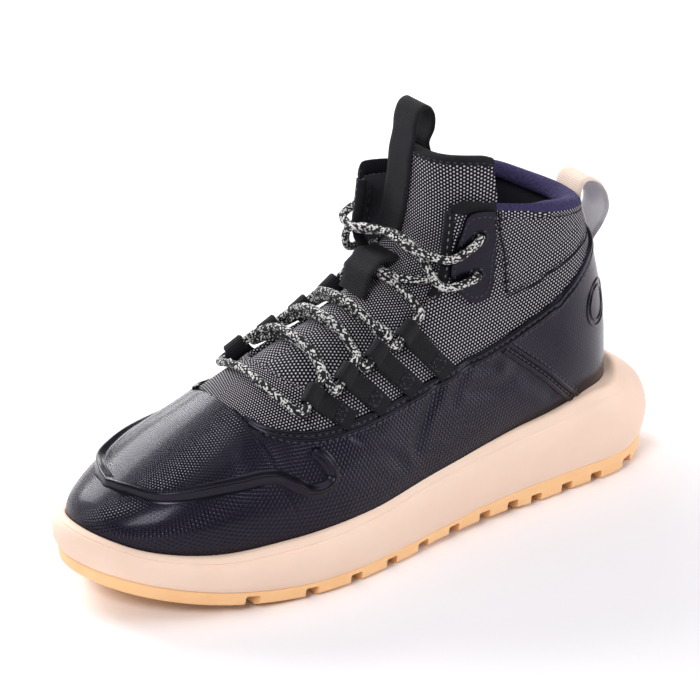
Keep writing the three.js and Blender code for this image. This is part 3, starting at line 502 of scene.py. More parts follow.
CREASES = [
    (depth, width, [(point(*a), point(*b)) for a, b in zip(line, line[1:])])
    for depth, width, line in CREASE_LINES
]


def crease(corner):
    """How far the creases draw a spot in. Each is a soft trough with a low ridge on both sides."""
    drawn = 0.0
    for depth, width, parts in CREASES:
        reach = 3 * width
        near = reach
        for start, end in parts:
            line = end - start
            share = clamp((corner - start).dot(line) / line.length_squared)
            near = min(near, (corner - start - line * share).length)
        if near < reach:
            level = (near / width) ** 2
            drawn -= depth * (1 - 0.9 * level) * exp(-level)
    return drawn


# Making pieces
COLLECTION = bpy.context.scene.collection


def corner_grid(columns, levels, place, closed=False):
    """A grid that a function of two shares places. It gives a point and, if wanted, a lift."""
    mesh = bmesh.new()
    mesh.loops.layers.uv.new("UVMap")
    lift = mesh.verts.layers.float.new("lift")
    bmesh.ops.create_grid(mesh, x_segments=columns, y_segments=levels, size=0.5, calc_uvs=True)
    for vertex in mesh.verts:
        s, t = vertex.co.x + 0.5, vertex.co.y + 0.5
        if closed and s > 1 - 0.5 / columns:
            s = 0.0
        put = place(s, t)
        if isinstance(put, tuple):
            vertex.co, vertex[lift] = put
        else:
            vertex.co = put
    return mesh


def scale_uv(mesh, across, along):
    layer = mesh.loops.layers.uv.active
    for face in mesh.faces:
        for loop in face.loops:
            loop[layer].uv = (loop[layer].uv.x * across, loop[layer].uv.y * along)


def weld(mesh, distance):
    bmesh.ops.remove_doubles(mesh, verts=mesh.verts, dist=distance)
    bmesh.ops.dissolve_degenerate(mesh, dist=distance / 4, edges=mesh.edges)


def joined(meshes):
    """One mesh from several."""
    whole = bmesh.new()
    for mesh in meshes:
        part = bpy.data.meshes.new("part")
        mesh.to_mesh(part)
        mesh.free()
        whole.from_mesh(part)
        bpy.data.meshes.remove(part)
    return whole


def outward(mesh):
    """Turns the faces of closed shapes outward."""
    bmesh.ops.recalc_face_normals(mesh, faces=mesh.faces)
    return mesh


def capped(mesh):
    """Closes the open ends of a skin."""
    bmesh.ops.holes_fill(mesh, edges=[edge for edge in mesh.edges if edge.is_boundary], sides=0)
    return outward(mesh)


def lift_corners(mesh):
    """Moves the corners out along their normals by the lift that each carries."""
    layer = mesh.verts.layers.float["lift"]
    mesh.normal_update()
    moves = [vertex.normal * vertex[layer] for vertex in mesh.verts]
    for vertex, move in zip(mesh.verts, moves):
        vertex.co += move


def thing(name, mesh, materials):
    """An object from a mesh in millimetres."""
    bmesh.ops.scale(mesh, vec=(MM, MM, MM), verts=mesh.verts)
    data = bpy.data.meshes.new(name)
    mesh.to_mesh(data)
    mesh.free()
    for entry in materials:
        data.materials.append(entry)
    made = bpy.data.objects.new(name, data)
    COLLECTION.objects.link(made)
    return made


def finish(name, mesh, materials, nodes=(), sharp=45):
    """A finished piece that rides on the boot and may stand for CAD nodes."""
    made = mesh if isinstance(mesh, bpy.types.Object) else thing(name, mesh, materials)
    made.name = name
    made.data.polygons.foreach_set("use_smooth", [True] * len(made.data.polygons))
    made.data.set_sharp_from_angle(angle=radians(sharp))
    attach(made, "root")
    if nodes:
        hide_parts(*nodes)
    return made


def on_upper(name, mesh, *materials):
    """A finished piece that stands for the upper together with others."""
    finish(name, mesh, materials, ["upper"])


def cut(body, tool, operation="DIFFERENCE"):
    """Leaves of a body what is outside a tool, or what both share, and removes the tool."""
    change = body.modifiers.new("cut", "BOOLEAN")
    change.operation = operation
    change.solver = "EXACT"
    change.object = tool
    settle(body)
    data = tool.data
    bpy.data.objects.remove(tool)
    bpy.data.meshes.remove(data)


def settle(body):
    """Applies the modifiers of an object."""
    bpy.context.view_layer.update()
    evaluated = body.evaluated_get(bpy.context.evaluated_depsgraph_get())
    data = bpy.data.meshes.new_from_object(evaluated)
    body.modifiers.clear()
    body.data = data


def smooth_path(points, step, closed=False):
    """Evenly spaced points on a smooth curve through some points."""
    count = len(points)
    if closed:
        guides = [points[-1], *points, points[0], points[1]]
    else:
        guides = [2 * points[0] - points[1], *points, 2 * points[-1] - points[-2]]
    fine = []
    for i in range(count if closed else count - 1):
        p0, p1, p2, p3 = guides[i : i + 4]
        t1 = max(1e-4, (p1 - p0).length ** 0.5)
        t2 = t1 + max(1e-4, (p2 - p1).length ** 0.5)
        t3 = t2 + max(1e-4, (p3 - p2).length ** 0.5)
        parts = max(4, int((p2 - p1).length / step * 3))
        for k in range(parts):
            t = t1 + (t2 - t1) * k / parts
            a1 = p0.lerp(p1, t / t1)
            a2 = p1.lerp(p2, (t - t1) / (t2 - t1))
            a3 = p2.lerp(p3, (t - t2) / (t3 - t2))
            b1 = a1.lerp(a2, t / t2)
            b2 = a2.lerp(a3, (t - t1) / (t3 - t1))
            fine.append(b1.lerp(b2, (t - t1) / (t2 - t1)))
    fine.append(points[0].copy() if closed else points[-1].copy())
    return even(fine, step)


def places_on(line, step):
    """Evenly spaced places on a line, each as the number of its stretch and the share of it."""
    lengths = [0.0]
    for a, b in zip(line, line[1:]):
        lengths.append(lengths[-1] + (b - a).length)
    count = max(2, ceil(lengths[-1] / step))
    out, low = [], 0
    for i in range(count + 1):
        target = lengths[-1] * i / count
        while low < len(line) - 2 and lengths[low + 1] < target:
            low += 1
        span = lengths[low + 1] - lengths[low]
        out.append((low, (target - lengths[low]) / span if span else 0))
    return out


def even(line, step):
    """The same line with even steps between its points."""
    return [line[low].lerp(line[low + 1], share) for low, share in places_on(line, step)]


def resample(line, normals, step):
    """A line and its normals with even steps."""
    ups = [normals[low].lerp(normals[low + 1], share).normalized() for low, share in places_on(line, step)]
    return even(line, step), ups


def tangents(line, closed=False):
    """Direction of the line at each of its points."""
    last = len(line) - 1
    out = []
    for i in range(last + 1):
        if closed and i in (0, last):
            out.append((line[1] - line[last - 1]).normalized())
        else:
            out.append((line[min(last, i + 1)] - line[max(0, i - 1)]).normalized())
    return out


def length_of(line):
    return sum((b - a).length for a, b in zip(line, line[1:]))


def sweep(line, ups, outline, closed=False, taper=None):
    """A skin along a line with a direction that is up at each of its points.

    outline is the section's (sideways, up) points. taper is the size that its ends start from and
    how fast they grow to full size."""
    directions = tangents(line, closed)
    parts, last = len(outline), len(line) - 1
    rim = sum(hypot(a[0] - b[0], a[1] - b[1]) for a, b in zip(outline, outline[1:] + outline[:1]))

    def place(s, t):
        i = round(t * last)
        j = round(s * parts) % parts
        if closed and i == last:
            i = 0
        side = directions[i].cross(ups[i]).normalized()
        up = side.cross(directions[i])
        width, rise = outline[j]
        size = min(1, taper[0] + taper[1] * min(i / last, 1 - i / last)) if taper else 1
        return line[i] + side * width * size + up * rise * size

    mesh = corner_grid(parts, last, place, closed=True)
    scale_uv(mesh, rim, length_of(line))
    weld(mesh, 0.002)
    return outward(mesh) if closed else capped(mesh)


def circle(points):
    """Angles of evenly spaced points on a circle."""
    return [2 * pi * i / points for i in range(points)]


def round_section(width, rise, points=12):
    return [(width / 2 * cos(angle), rise / 2 * sin(angle)) for angle in circle(points)]


def band_section(width, thick, parts=8):
    """Section of a webbing band: flat with round edges."""
    half = width / 2 - thick / 2
    upper = [(half - 2 * half * i / parts, thick / 2) for i in range(parts + 1)]
    lower = [(-x, -thick / 2) for x, _ in upper]
    return [(half + thick / 2, 0), *upper, (-half - thick / 2, 0), *lower]


def carried(line, start):
    """Up directions carried along a line without twist."""
    directions = tangents(line)
    up = (start - directions[0] * start.dot(directions[0])).normalized()
    out = [up]
    for direction in directions[1:]:
        up = (up - direction * up.dot(direction)).normalized()
        out.append(up)
    return out


def stitch_row(line, normals, pitch, length, width):
    """Thread along a line, one flat bead for each stitch."""
    mesh = bmesh.new()
    mesh.loops.layers.uv.new("UVMap")
    total, travelled, target = length_of(line), 0.0, pitch / 2
    for i in range(len(line) - 1):
        part = line[i + 1] - line[i]
        size = part.length
        while size and target < travelled + size and target < total:
            share = (target - travelled) / size
            normal = normals[i].lerp(normals[i + 1], share).normalized()
            ahead = part.normalized()
            side = normal.cross(ahead).normalized()
            turn = Matrix((ahead, side, ahead.cross(side))).transposed()
            shape = (turn @ Matrix.Diagonal((length / 2, width / 2, width * 0.42))).to_4x4()
            middle = line[i].lerp(line[i + 1], share) + normal * width * 0.12
            place = Matrix.Translation(middle) @ shape
            bmesh.ops.create_icosphere(mesh, subdivisions=1, radius=1, matrix=place, calc_uvs=True)
            target += pitch
        travelled += size
    return outward(mesh)


# Lines on the upper
def evened(line, closed):
    """The same points with their small unevenness taken out."""
    last = len(line) - 1
    for _ in range(EVENING_PASSES):
        before = line
        inner = [(before[i - 1] + before[i] * 2 + before[i + 1]) / 4 for i in range(1, last)]
        start = (before[last - 1] + before[0] * 2 + before[1]) / 4 if closed else before[0]
        line = [start, *inner, start if closed else before[-1]]
    return line


def on_form(row, turn, sign, lift):
    """A point over the creased form, and its normal."""
    base, normal = spot(row, turn, sign), spot_normal(row, turn, sign)
    return base + normal * (lift + crease(base)), normal


def side_line(points, sign, lift, step=1.5, closed=False):
    """A line on the upper through (along, up) points seen from the side, and its normals."""
    flat = smooth_path([Vector((along, up, 0)) for along, up in points], step, closed)
    line, normals = zip(*[on_form(*find(corner.x, corner.y), sign, lift) for corner in flat])
    return evened(line, closed), evened(normals, closed)


UNDERFOOT = 0.03


def from_middle(share, edge):
    """Turn of a column. The first few close the bottom and the heel's back to the middle line."""
    return -1 + (edge + 1) * max(0, share - UNDERFOOT) / (1 - UNDERFOOT)


def shell_turn(row, sign, share):
    return from_middle(share, throat_turn(row, sign))


def to_middle(corner, share):
    """The same spot, on the middle line if it belongs to the first column."""
    if share == 0:
        corner.x = centre(along_of(corner))
    return corner


def edge_line(turn_at, places, sign, lift, inset):
    """A line beside an edge that a function of the section gives, and its normals."""
    small = 0.03
    pairs = []
    for row in places:
        turn = turn_at(row, sign)
        stretch = (spot(row, turn, sign) - spot(row, turn - small, sign)).length
        pairs.append(on_form(row, turn - small * inset / max(0.05, stretch), sign, lift))
    return [corner for corner, _ in pairs], [normal for _, normal in pairs]


# Materials
def linear(code):
    """A colour from its sRGB hex value."""
    parts = [int(code[i : i + 2], 16) / 255 for i in (1, 3, 5)]
    curved = [part / 12.92 if part <= 0.04045 else ((part + 0.055) / 1.055) ** 2.4 for part in parts]
    return [*curved, 1.0]


def node(tree, kind, inputs=None, **settings):
    """Adds a node with its settings, and its inputs as numbers or links."""
    made = tree.nodes.new(f"ShaderNode{kind}")
    for key, value in settings.items():
        setattr(made, key, value)
    for key, value in (inputs or {}).items():
        if isinstance(value, bpy.types.NodeSocket):
            tree.links.new(value, made.inputs[key])
        else:
            made.inputs[key].default_value = value
    return made


def begin(name, **numbers):
    """A new material with the numbers of its shader, and its node tree."""
    made = bpy.data.materials.new(name)
    made.use_nodes = True
    shader = made.node_tree.nodes["Principled BSDF"]
    for key, value in numbers.items():
        shader.inputs[key.replace("_", " ")].default_value = value
    return made, made.node_tree


def end(made, colour, roughness=None, bumps=()):
    """Links colour, roughness and a chain of (height, strength, millimetres) bumps to the shader."""
    tree = made.node_tree
    normal = None
    for level, strength, deep in bumps:
        inputs = {"Height": level, "Strength": strength, "Distance": deep * MM}
        if normal:
            inputs["Normal"] = normal
        normal = node(tree, "Bump", inputs).outputs["Normal"]
    shader = tree.nodes["Principled BSDF"]
    for key, value in (("Base Color", colour), ("Roughness", roughness), ("Normal", normal)):
        if value is not None:
            tree.links.new(value, shader.inputs[key])
    return made


def coordinates(tree, kind="UV", **mapping):
    """Texture coordinates through a mapping."""
    source = node(tree, "TexCoord").outputs[kind]
    return node(tree, "Mapping", {"Vector": source, **mapping}).outputs["Vector"]


def noise(tree, vector, size, detail, rough=0.5):
    """Noise with features of a given size, in the units of its coordinates."""
    inputs = {"Vector": vector, "Scale": 1 / size, "Detail": detail, "Roughness": rough}
    return node(tree, "TexNoise", inputs).outputs["Fac"]


def spread(tree, value, low, high, to_low=0.0, to_high=1.0):
    inputs = {"Value": value, "From Min": low, "From Max": high, "To Min": to_low, "To Max": to_high}
    return node(tree, "MapRange", inputs).outputs["Result"]


def blend(tree, share, first, second):
    """A colour between two, each a hex value, numbers or a link."""
    made = node(tree, "Mix", data_type="RGBA")
    tree.links.new(share, made.inputs[0])
    for socket, value in ((made.inputs[6], first), (made.inputs[7], second)):
        if isinstance(value, bpy.types.NodeSocket):
            tree.links.new(value, socket)
        else:
            socket.default_value = linear(value) if isinstance(value, str) else value
    return made.outputs[2]


def ribs(tree, value, pitch):
    """A wave from -1 to 1 along one coordinate."""
    turned = node(tree, "Math", {0: value, 1: 2 * pi / pitch}, operation="MULTIPLY").outputs[0]
    return node(tree, "Math", {0: turned}, operation="SINE").outputs[0]


def dots(tree, vector, pitch):
    """Distance to the nearest point of a triangular lattice, in the units of the coordinates."""
    cell = (pitch, pitch * sqrt(3), 1)
    ways = []
    for shift in (0.0, 0.5):
        inputs = {0: vector, 1: tuple(1 / size for size in cell), 2: (shift, shift, 0)}
        placed = node(tree, "VectorMath", inputs, operation="MULTIPLY_ADD").outputs[0]
        inside = node(tree, "VectorMath", {0: placed}, operation="FRACTION").outputs[0]
        inputs = {0: inside, 1: (*cell[:2], 0), 2: (-cell[0] / 2, -cell[1] / 2, 0)}
        away = node(tree, "VectorMath", inputs, operation="MULTIPLY_ADD").outputs[0]
        ways.append(node(tree, "VectorMath", {0: away}, operation="LENGTH").outputs["Value"])
    return node(tree, "Math", {0: ways[0], 1: ways[1]}, operation="MINIMUM").outputs[0]


def make_leather(name, grained):
    """Split leather with a pressed polyurethane coat: a dark navy skin with broad soft lights.

    Grained, it shows small pressed beads from the toe to the ankle that fade on the heel."""
    made, tree = begin(
        name, IOR=1.5, Specular_IOR_Level=0.27, Specular_Tint=linear("#e2d8ff"),
        Coat_Weight=0.12, Coat_Roughness=0.15,
    )
    place = coordinates(tree, "Object")
    cloudy = noise(tree, place, 0.03, 4)
    fine = noise(tree, place, 0.0009, 2)
    bumps = [(cloudy, 0.22, 1.6), (noise(tree, place, 0.012, 3), 0.2, 0.5), (fine, 0.25, 0.06)]
    colour = blend(tree, cloudy, "#050408", "#0c0a12")
    if grained:
        bead = spread(tree, dots(tree, coordinates(tree), GRAIN_PITCH), 0.2, 0.85, 1.0, 0.0)
        forward = node(tree, "SeparateXYZ", {"Vector": place}).outputs["Y"]
        shown = spread(tree, forward, -0.01, -0.07, 0.12, 1.0)
        relief = node(tree, "Math", {0: bead, 1: shown}, operation="MULTIPLY").outputs[0]
        bumps.append((relief, 0.9, 0.3))
        # Painted highlight: every bead is coloured lighter than the skin around it, standing in for light
        # on its top.
        colour = blend(tree, bead, colour, "#151220")
    return end(made, colour, spread(tree, cloudy, 0.3, 0.7, 0.2, 0.32), bumps)


def make_dotted():
    """Jacquard polyester: a black ground with a regular field of small white floats."""
    made, tree = begin(
        "jacquard polyester", Specular_IOR_Level=0.2, Sheen_Weight=0.03, Sheen_Roughness=0.5
    )
    place = coordinates(tree)
    dot = spread(tree, dots(tree, place, DOT_PITCH), 0.44, 0.34)
    thread = noise(tree, coordinates(tree, Scale=(1, 4, 1)), 0.5, 2)
    light = blend(tree, thread, "#938e9b", "#e4e1e8")
    ground = blend(tree, noise(tree, place, 18, 2), "#060508", "#0d0b11")
    bumps = [(dot, 0.6, 0.22), (thread, 0.3, 0.1)]
    return end(made, blend(tree, dot, ground, light), spread(tree, dot, 0, 1, 0.85, 0.7), bumps)


def make_webbing(name, dark, light, pitch=1.1):
    """Woven polyester webbing: matt, with fine ribs and a slight wander of tone."""
    made, tree = begin(name, Specular_IOR_Level=0.22, Sheen_Weight=0.03, Sheen_Roughness=0.5)
    place = coordinates(tree)
    split = node(tree, "SeparateXYZ", {"Vector": place}).outputs
    rib = ribs(tree, split["Y"], pitch)
    cord = ribs(tree, split["X"], 0.7)
    weave = node(tree, "Math", {0: rib, 1: cord}, operation="MULTIPLY").outputs[0]
    tone = noise(tree, place, 6, 3)
    # Painted shade and light: the colour is darker where the weave lies low and lighter where it stands
    # high, on top of a random wander of tone.
    shade = node(tree, "Math", {0: weave, 1: 0.18, 2: tone}, operation="MULTIPLY_ADD").outputs[0]
    roughness = spread(tree, weave, -1, 1, 0.9, 0.72)
    return end(made, blend(tree, shade, dark, light), roughness, [(rib, 0.5, 0.18), (weave, 0.4, 0.12)])


def make_plush():
    """Brushed polyester pile: deep violet navy, with painted highlights of light violet on random tufts and
    painted shade near black between them.
    """
    made, tree = begin(
        "brushed pile", Roughness=0.95, Sheen_Weight=0.6, Sheen_Roughness=0.35,
        Sheen_Tint=linear("#4a427a"),
    )
    place = coordinates(tree, "Object")
    tufts_and_highlights = noise(tree, place, 0.0016, 3, 0.7)
    bumps = [(noise(tree, place, 0.008, 3), 0.6, 1.2), (tufts_and_highlights, 1.0, 1.4)]
    # Painted light and shade: the tufts' noise colours the pile light violet on their tops and near black
    # between them.
    return end(made, blend(tree, tufts_and_highlights, "#080611", "#3a3166"), None, bumps)


def make_foam():
    """Moulded EVA foam: pale peach, matt and faintly mottled, with a soft glow of light inside."""
    made, tree = begin("moulded foam", IOR=1.45, Subsurface_Weight=0.08, Subsurface_Scale=0.004)
    place = coordinates(tree, "Object")
    mottle = noise(tree, place, 0.02, 4)
    colour = blend(tree, mottle, "#ebccb7", "#f3d9c7")
    bumps = [(noise(tree, place, 0.0007, 2), 0.2, 0.06)]
    return end(made, colour, spread(tree, mottle, 0.3, 0.7, 0.62, 0.72), bumps)


def make_gum():
    """Gum rubber: warm amber, slightly see-through at its edges, with a soft moulded shine."""
    made, tree = begin("gum rubber", IOR=1.52, Subsurface_Weight=0.15, Subsurface_Scale=0.003)
    place = coordinates(tree, "Object")
    cloud = noise(tree, place, 0.015, 4)
    colour = blend(tree, cloud, "#f5bf83", "#fdcf9b")
    bumps = [(noise(tree, place, 0.0008, 2), 0.25, 0.08)]
    return end(made, colour, spread(tree, cloud, 0.3, 0.7, 0.45, 0.58), bumps)


def make_lace():
    """Braided polyester cord: black carriers with white flecks on about a third of them."""
    made, tree = begin(
        "braided cord", Roughness=0.75, Specular_IOR_Level=0.25, Sheen_Weight=0.04, Sheen_Roughness=0.5
    )
    place = coordinates(tree)
    split = node(tree, "SeparateXYZ", {"Vector": place}).outputs
    inputs = {0: split["X"], 1: CARRIERS / (pi * LACE)}
    turn = node(tree, "Math", inputs, operation="MULTIPLY").outputs[0]
    cells, pillows = [], []
    for hand in (1, -1):
        inputs = {0: split["Y"], 1: hand / FLECK, 2: turn}
        placed = node(tree, "Math", inputs, operation="MULTIPLY_ADD").outputs[0]
        cells.append(node(tree, "Math", {0: placed}, operation="FLOOR").outputs[0])
        bowed = node(tree, "Math", {0: placed, 1: 1.0}, operation="PINGPONG").outputs[0]
        pillows.append(spread(tree, bowed, 0, 1, 0.2, 1))
    cell = node(tree, "CombineXYZ", {"X": cells[0], "Y": cells[1]}).outputs[0]
    chance = node(tree, "TexWhiteNoise", {"Vector": cell}, noise_dimensions="2D").outputs["Value"]
    patchy = noise(tree, place, 9, 1)
    mixed = node(tree, "Math", {0: patchy, 1: 0.6, 2: chance}, operation="MULTIPLY_ADD").outputs[0]
    bow_and_shade = node(tree, "Math", {0: pillows[0], 1: pillows[1]}, operation="MULTIPLY").outputs[0]
    # Painted shade: the pale flecks darken from the middle of each braided pillow toward the grooves
    # between pillows, following the same bow as the bump.
    pale = blend(tree, bow_and_shade, "#c0bfbd", "#f4f3f0")
    colour = blend(tree, spread(tree, mixed, 0.97, 1.01), "#131217", pale)
    return end(made, colour, None, [(bow_and_shade, 0.8, 0.5), (ribs(tree, split["Y"], 0.45), 0.25, 0.08)])


def make_thread(name, code):
    """Sewing thread: a faint twist and a soft shine."""
    made, tree = begin(name, Roughness=0.55, Sheen_Weight=0.1)
    tone = noise(tree, coordinates(tree, "Object"), 0.0015, 2)
    dark = [part * 0.6 for part in linear(code)[:3]] + [1.0]
    return end(made, blend(tree, tone, dark, code), None, [(tone, 0.3, 0.1)])


def make_lining():
    """Knitted mesh lining: dark, matt, with small regular holes."""
    made, tree = begin("knitted lining", Sheen_Weight=0.2, Sheen_Roughness=0.6)
    hole = spread(tree, dots(tree, coordinates(tree), DOT_PITCH), 0.35, 0.55)
    colour = blend(tree, noise(tree, coordinates(tree, "Object"), 0.02, 3), "#14111f", "#221d38")
    return end(made, colour, spread(tree, hole, 0, 1, 0.95, 0.8), [(hole, 0.5, 0.2)])


def make_floor():
    """Painted studio floor: near white and matt, with almost no texture."""
    made, tree = begin("studio floor paint", Roughness=0.9)
    return end(made, blend(tree, noise(tree, coordinates(tree, "Object"), 0.4, 2), "#f7f4f7", "#fbf9fc"))


LEATHER = make_leather("coated leather, beaded", True)
SMOOTH_LEATHER = make_leather("coated leather, smooth", False)
DOTTED = make_dotted()
BLACK_WEBBING = make_webbing("black webbing", "#08080b", "#1b1a20")
STRAP_WEBBING = make_webbing("black tape", "#09080c", "#1b1a21", 0.8)
CREAM_TAPE = make_webbing("cream webbing", "#ecd6c5", "#f3dfd0", 0.9)
GREY_TAPE = make_webbing("grey webbing", "#b3b0b6", "#c9c6cc", 0.9)
PLUSH = make_plush()
FOAM = make_foam()
GUM = make_gum()
CORD = make_lace()
BLACK_THREAD = make_thread("black thread", "#2e2b38")
PALE_THREAD = make_thread("pale thread", "#86838f")
LINING = make_lining()


def unwrap(made, seen_above=0.0):
    """Flattens a shell with little stretch and brings its UV map to millimetres, level with z.

    Its size is matched on the part above a height, where the pattern shows."""
    bpy.ops.object.select_all(action="DESELECT")
    made.select_set(True)
    bpy.context.view_layer.objects.active = made
    bpy.ops.object.mode_set(mode="EDIT")
    bpy.ops.mesh.select_all(action="SELECT")
    bpy.ops.uv.unwrap(method="ANGLE_BASED", margin=0.01)
    bpy.ops.object.mode_set(mode="OBJECT")
    data = made.data
    layer = data.uv_layers.active.data
    for sign in (1, -1):
        area = flat_area = 0.0
        loops, pairs = [], []
        for face in data.polygons:
            middle = face.center / MM
            if (middle.x - centre(along_of(middle))) * sign < 0:
                continue
            corners = [layer[i].uv.copy() for i in face.loop_indices]
            if middle.z > seen_above:
                area += face.area / MM**2
                flat_area += abs(sum(a.cross(b) for a, b in zip(corners, corners[1:] + corners[:1]))) / 2
            loops += face.loop_indices
            pairs.append((sum(corners, Vector((0, 0))) / len(corners), middle))
        if not loops:
            continue
        size = sqrt(area / flat_area)
        mean = sum((uv for uv, _ in pairs), Vector((0, 0))) / len(pairs)
        heart = sum((place for _, place in pairs), Vector()) / len(pairs)
        best = (0, 0, 1)
        for hand in (1, -1):
            even_part = odd_part = 0.0
            for uv, place in pairs:
                u, v = (uv - mean).x * hand, (uv - mean).y
                y, z = place.y - heart.y, place.z - heart.z
                even_part += u * y + v * z
                odd_part += u * z - v * y
            best = max(best, (hypot(even_part, odd_part), (even_part, odd_part), hand))
        (c, s), hand = best[1], best[2]
        c, s = c / best[0], s / best[0]
        for i in loops:
            u, v = (layer[i].uv.x - mean.x) * hand * size, (layer[i].uv.y - mean.y) * size
            layer[i].uv = (u * c - v * s, u * s + v * c)


# Upper: a textile shell, the leather over it and the padded edges of its throat
def level_rows(count, low, high, power=1.0):
    return [low + (high - low) * (i / count) ** power for i in range(count + 1)]


@lru_cache(maxsize=None)
def shell_top(share, sign):
    return top_row(share, sign, COLLAR_EDGE, shell_turn)


def face_out(mesh, toward):
    """Turns an open sheet so that its first faces look along a direction."""
    mesh.normal_update()
    if sum((face.normal.dot(toward) for face in mesh.faces), 0.0) < 0:
        bmesh.ops.reverse_faces(mesh, faces=mesh.faces)
    return mesh


def thicken(made, thick, material=0, rim=0):
    """Gives a sheet its thickness, inward from its face."""
    change = made.modifiers.new("wall", "SOLIDIFY")
    change.thickness = thick * MM
    change.offset = -1
    change.material_offset = material
    change.material_offset_rim = rim
    settle(made)
    return made


def upper_sheet(columns, levels, place):
    """A sheet over both sides of the upper, cut open at their borders for its pattern.

    place gives a point and its lift from two shares and a side's sign."""
    sides = []
    for _, sign in SIDES:
        mesh = corner_grid(columns, levels, lambda s, t: place(s, t, sign))
        for edge in mesh.edges:
            edge.seam = edge.is_boundary
        sides.append(face_out(mesh, Vector((sign, 0, 0))))
    mesh = joined(sides)
    weld(mesh, 0.03)
    lift_corners(mesh)
    return mesh


def make_shell():
    def place(s, t, sign):
        row = shell_top(round(s, 5), sign) * t**1.3
        corner = to_middle(spot(row, shell_turn(row, sign, s), sign), s)
        return corner, crease(corner)

    mesh = upper_sheet(46, 210, place)
    for _, sign in SIDES:
        for entry in EYELETS:
            middle, normal = seat(entry["at"], entry["up"], sign)
            gone = []
            for face in mesh.faces:
                away = face.calc_center_median() - middle
                if away.length < 8 and (away - normal * away.dot(normal)).length < EYELET / 2 + 0.4:
                    gone.append(face)
            bmesh.ops.delete(mesh, geom=gone, context="FACES")
    made = thing("upper_textile", mesh, [DOTTED, LINING])
    unwrap(made, 85)
    thicken(made, WALL, 1)
    on_upper("upper_textile", made)


LEATHER_TOP = bisect(15, 19, lambda row: above_edge(LEATHER_EDGE, spot(row, -0.999, 1)))


def make_leather_skin():
    def place(s, t, sign):
        row = LEATHER_TOP * t**1.25
        edge = leather_turn(row, sign)
        share = 1 - (1 - s) ** 1.6
        corner = to_middle(spot(row, from_middle(share, edge), sign), share)
        inset = (spot(row, edge, sign) - corner).length if edge < 1.0 else 99
        fold = sum(rise * exp(-(((inset - at) / wide) ** 2)) for at, wide, rise in LEATHER_FOLDS)
        roll = sqrt(max(0, 1 - (1 - min(1, inset / 0.9)) ** 2))
        return corner, (LEATHER_STEP + fold) * roll - 0.1 * (1 - roll) + crease(corner)

    made = thing("upper_leather", upper_sheet(54, 230, place), [LEATHER])
    unwrap(made)
    thicken(made, LEATHER_STEP * 0.9)
    on_upper("upper_leather", made)


make_shell()
make_leather_skin()


def raised_seam():
    """The corded seam around the toe and its hooks."""
    outer = [seat(entry["at"], entry["up"], 1, LEATHER_STEP)[0] for entry in TOE_SEAM]
    inner = [seat(entry["at"], entry["up"], -1, LEATHER_STEP)[0] for entry in TOE_SEAM[:-1]]
    line = smooth_path(outer + inner[::-1], 1.6)
    ups = []
    for corner in line:
        row, turn = find(along_of(corner), corner.z)
        ups.append(spot_normal(row, turn, 1 if corner.x > centre(along_of(corner)) else -1))
    line = [corner + up * crease(corner) for corner, up in zip(line, ups)]
    half = [(x, SEAM_RISE * exp(-((x / SEAM_SPREAD) ** 2)) - 0.25) for x in [i * 0.5 for i in range(-8, 9)]]
    section = half[::-1] + [(-3.2, -0.9), (3.2, -0.9)]
    on_upper("toe_seam", sweep(line, ups, section, taper=(0.6, 60)), SMOOTH_LEATHER)


raised_seam()


def leather_beside(inset, sign, lift):
    levels = level_rows(260, 6.2, LEATHER_TOP - 0.12)
    line, normals = resample(*edge_line(leather_turn, levels, sign, lift, inset), 1.2)
    return evened(line, False), evened(normals, False)


def upper_stitches():
    """The double fold along the leather's edge and its two rows of stitches."""
    parts, folds = [], []
    for _, sign in SIDES:
        for inset in (2.7, 6.0):
            line, normals = leather_beside(inset, sign, LEATHER_STEP + 0.1)
            parts.append(stitch_row(line, normals, 3.2, 2.4, 0.9))
        for inset in (1.3, 4.2):
            line, normals = leather_beside(inset, sign, LEATHER_STEP)
            folds.append(sweep(line, normals, round_section(2.3, 1.9, 10)))
    on_upper("leather_edge_fold", joined(folds), SMOOTH_LEATHER)
    on_upper("leather_edge_stitches", joined(parts), BLACK_THREAD)


upper_stitches()


# Sole
def sole_loft(levels, stations):
    """A closed body from levels of (inset, heel inset, height, how far it spreads to the side)."""
    last = len(levels) - 1

    def place(s, t):
        inset, heel_inset, up, reach = levels[round(t * last)]
        turn = 2 * pi * s
        share = (1 + cos(turn)) / 2
        along = heel_inset + (LENGTH - inset - heel_inset) * share
        sign = 1 if turn <= pi else -1
        side = centre(along) + sign * half_width(along, inset, heel_inset) * reach
        return point(side, along, up(along))

    mesh = corner_grid(2 * stations, last, place, closed=True)
    weld(mesh, 0.005)
    return outward(mesh)


def form_body(lift, top):
    """The closed form of the upper's lower part, to cut its bed."""

    def side(sign):
        def place(s, t):
            turn = -1 + 2 * max(0, s - 0.08) / 0.92
            return to_middle(spot(top * t**1.3, turn, sign), s), lift

        return face_out(corner_grid(40, 90, place), Vector((sign, 0, 0)))

    mesh = joined([side(1), side(-1)])
    weld(mesh, 0.02)
    lift_corners(mesh)
    return thing("form", capped(mesh), [])


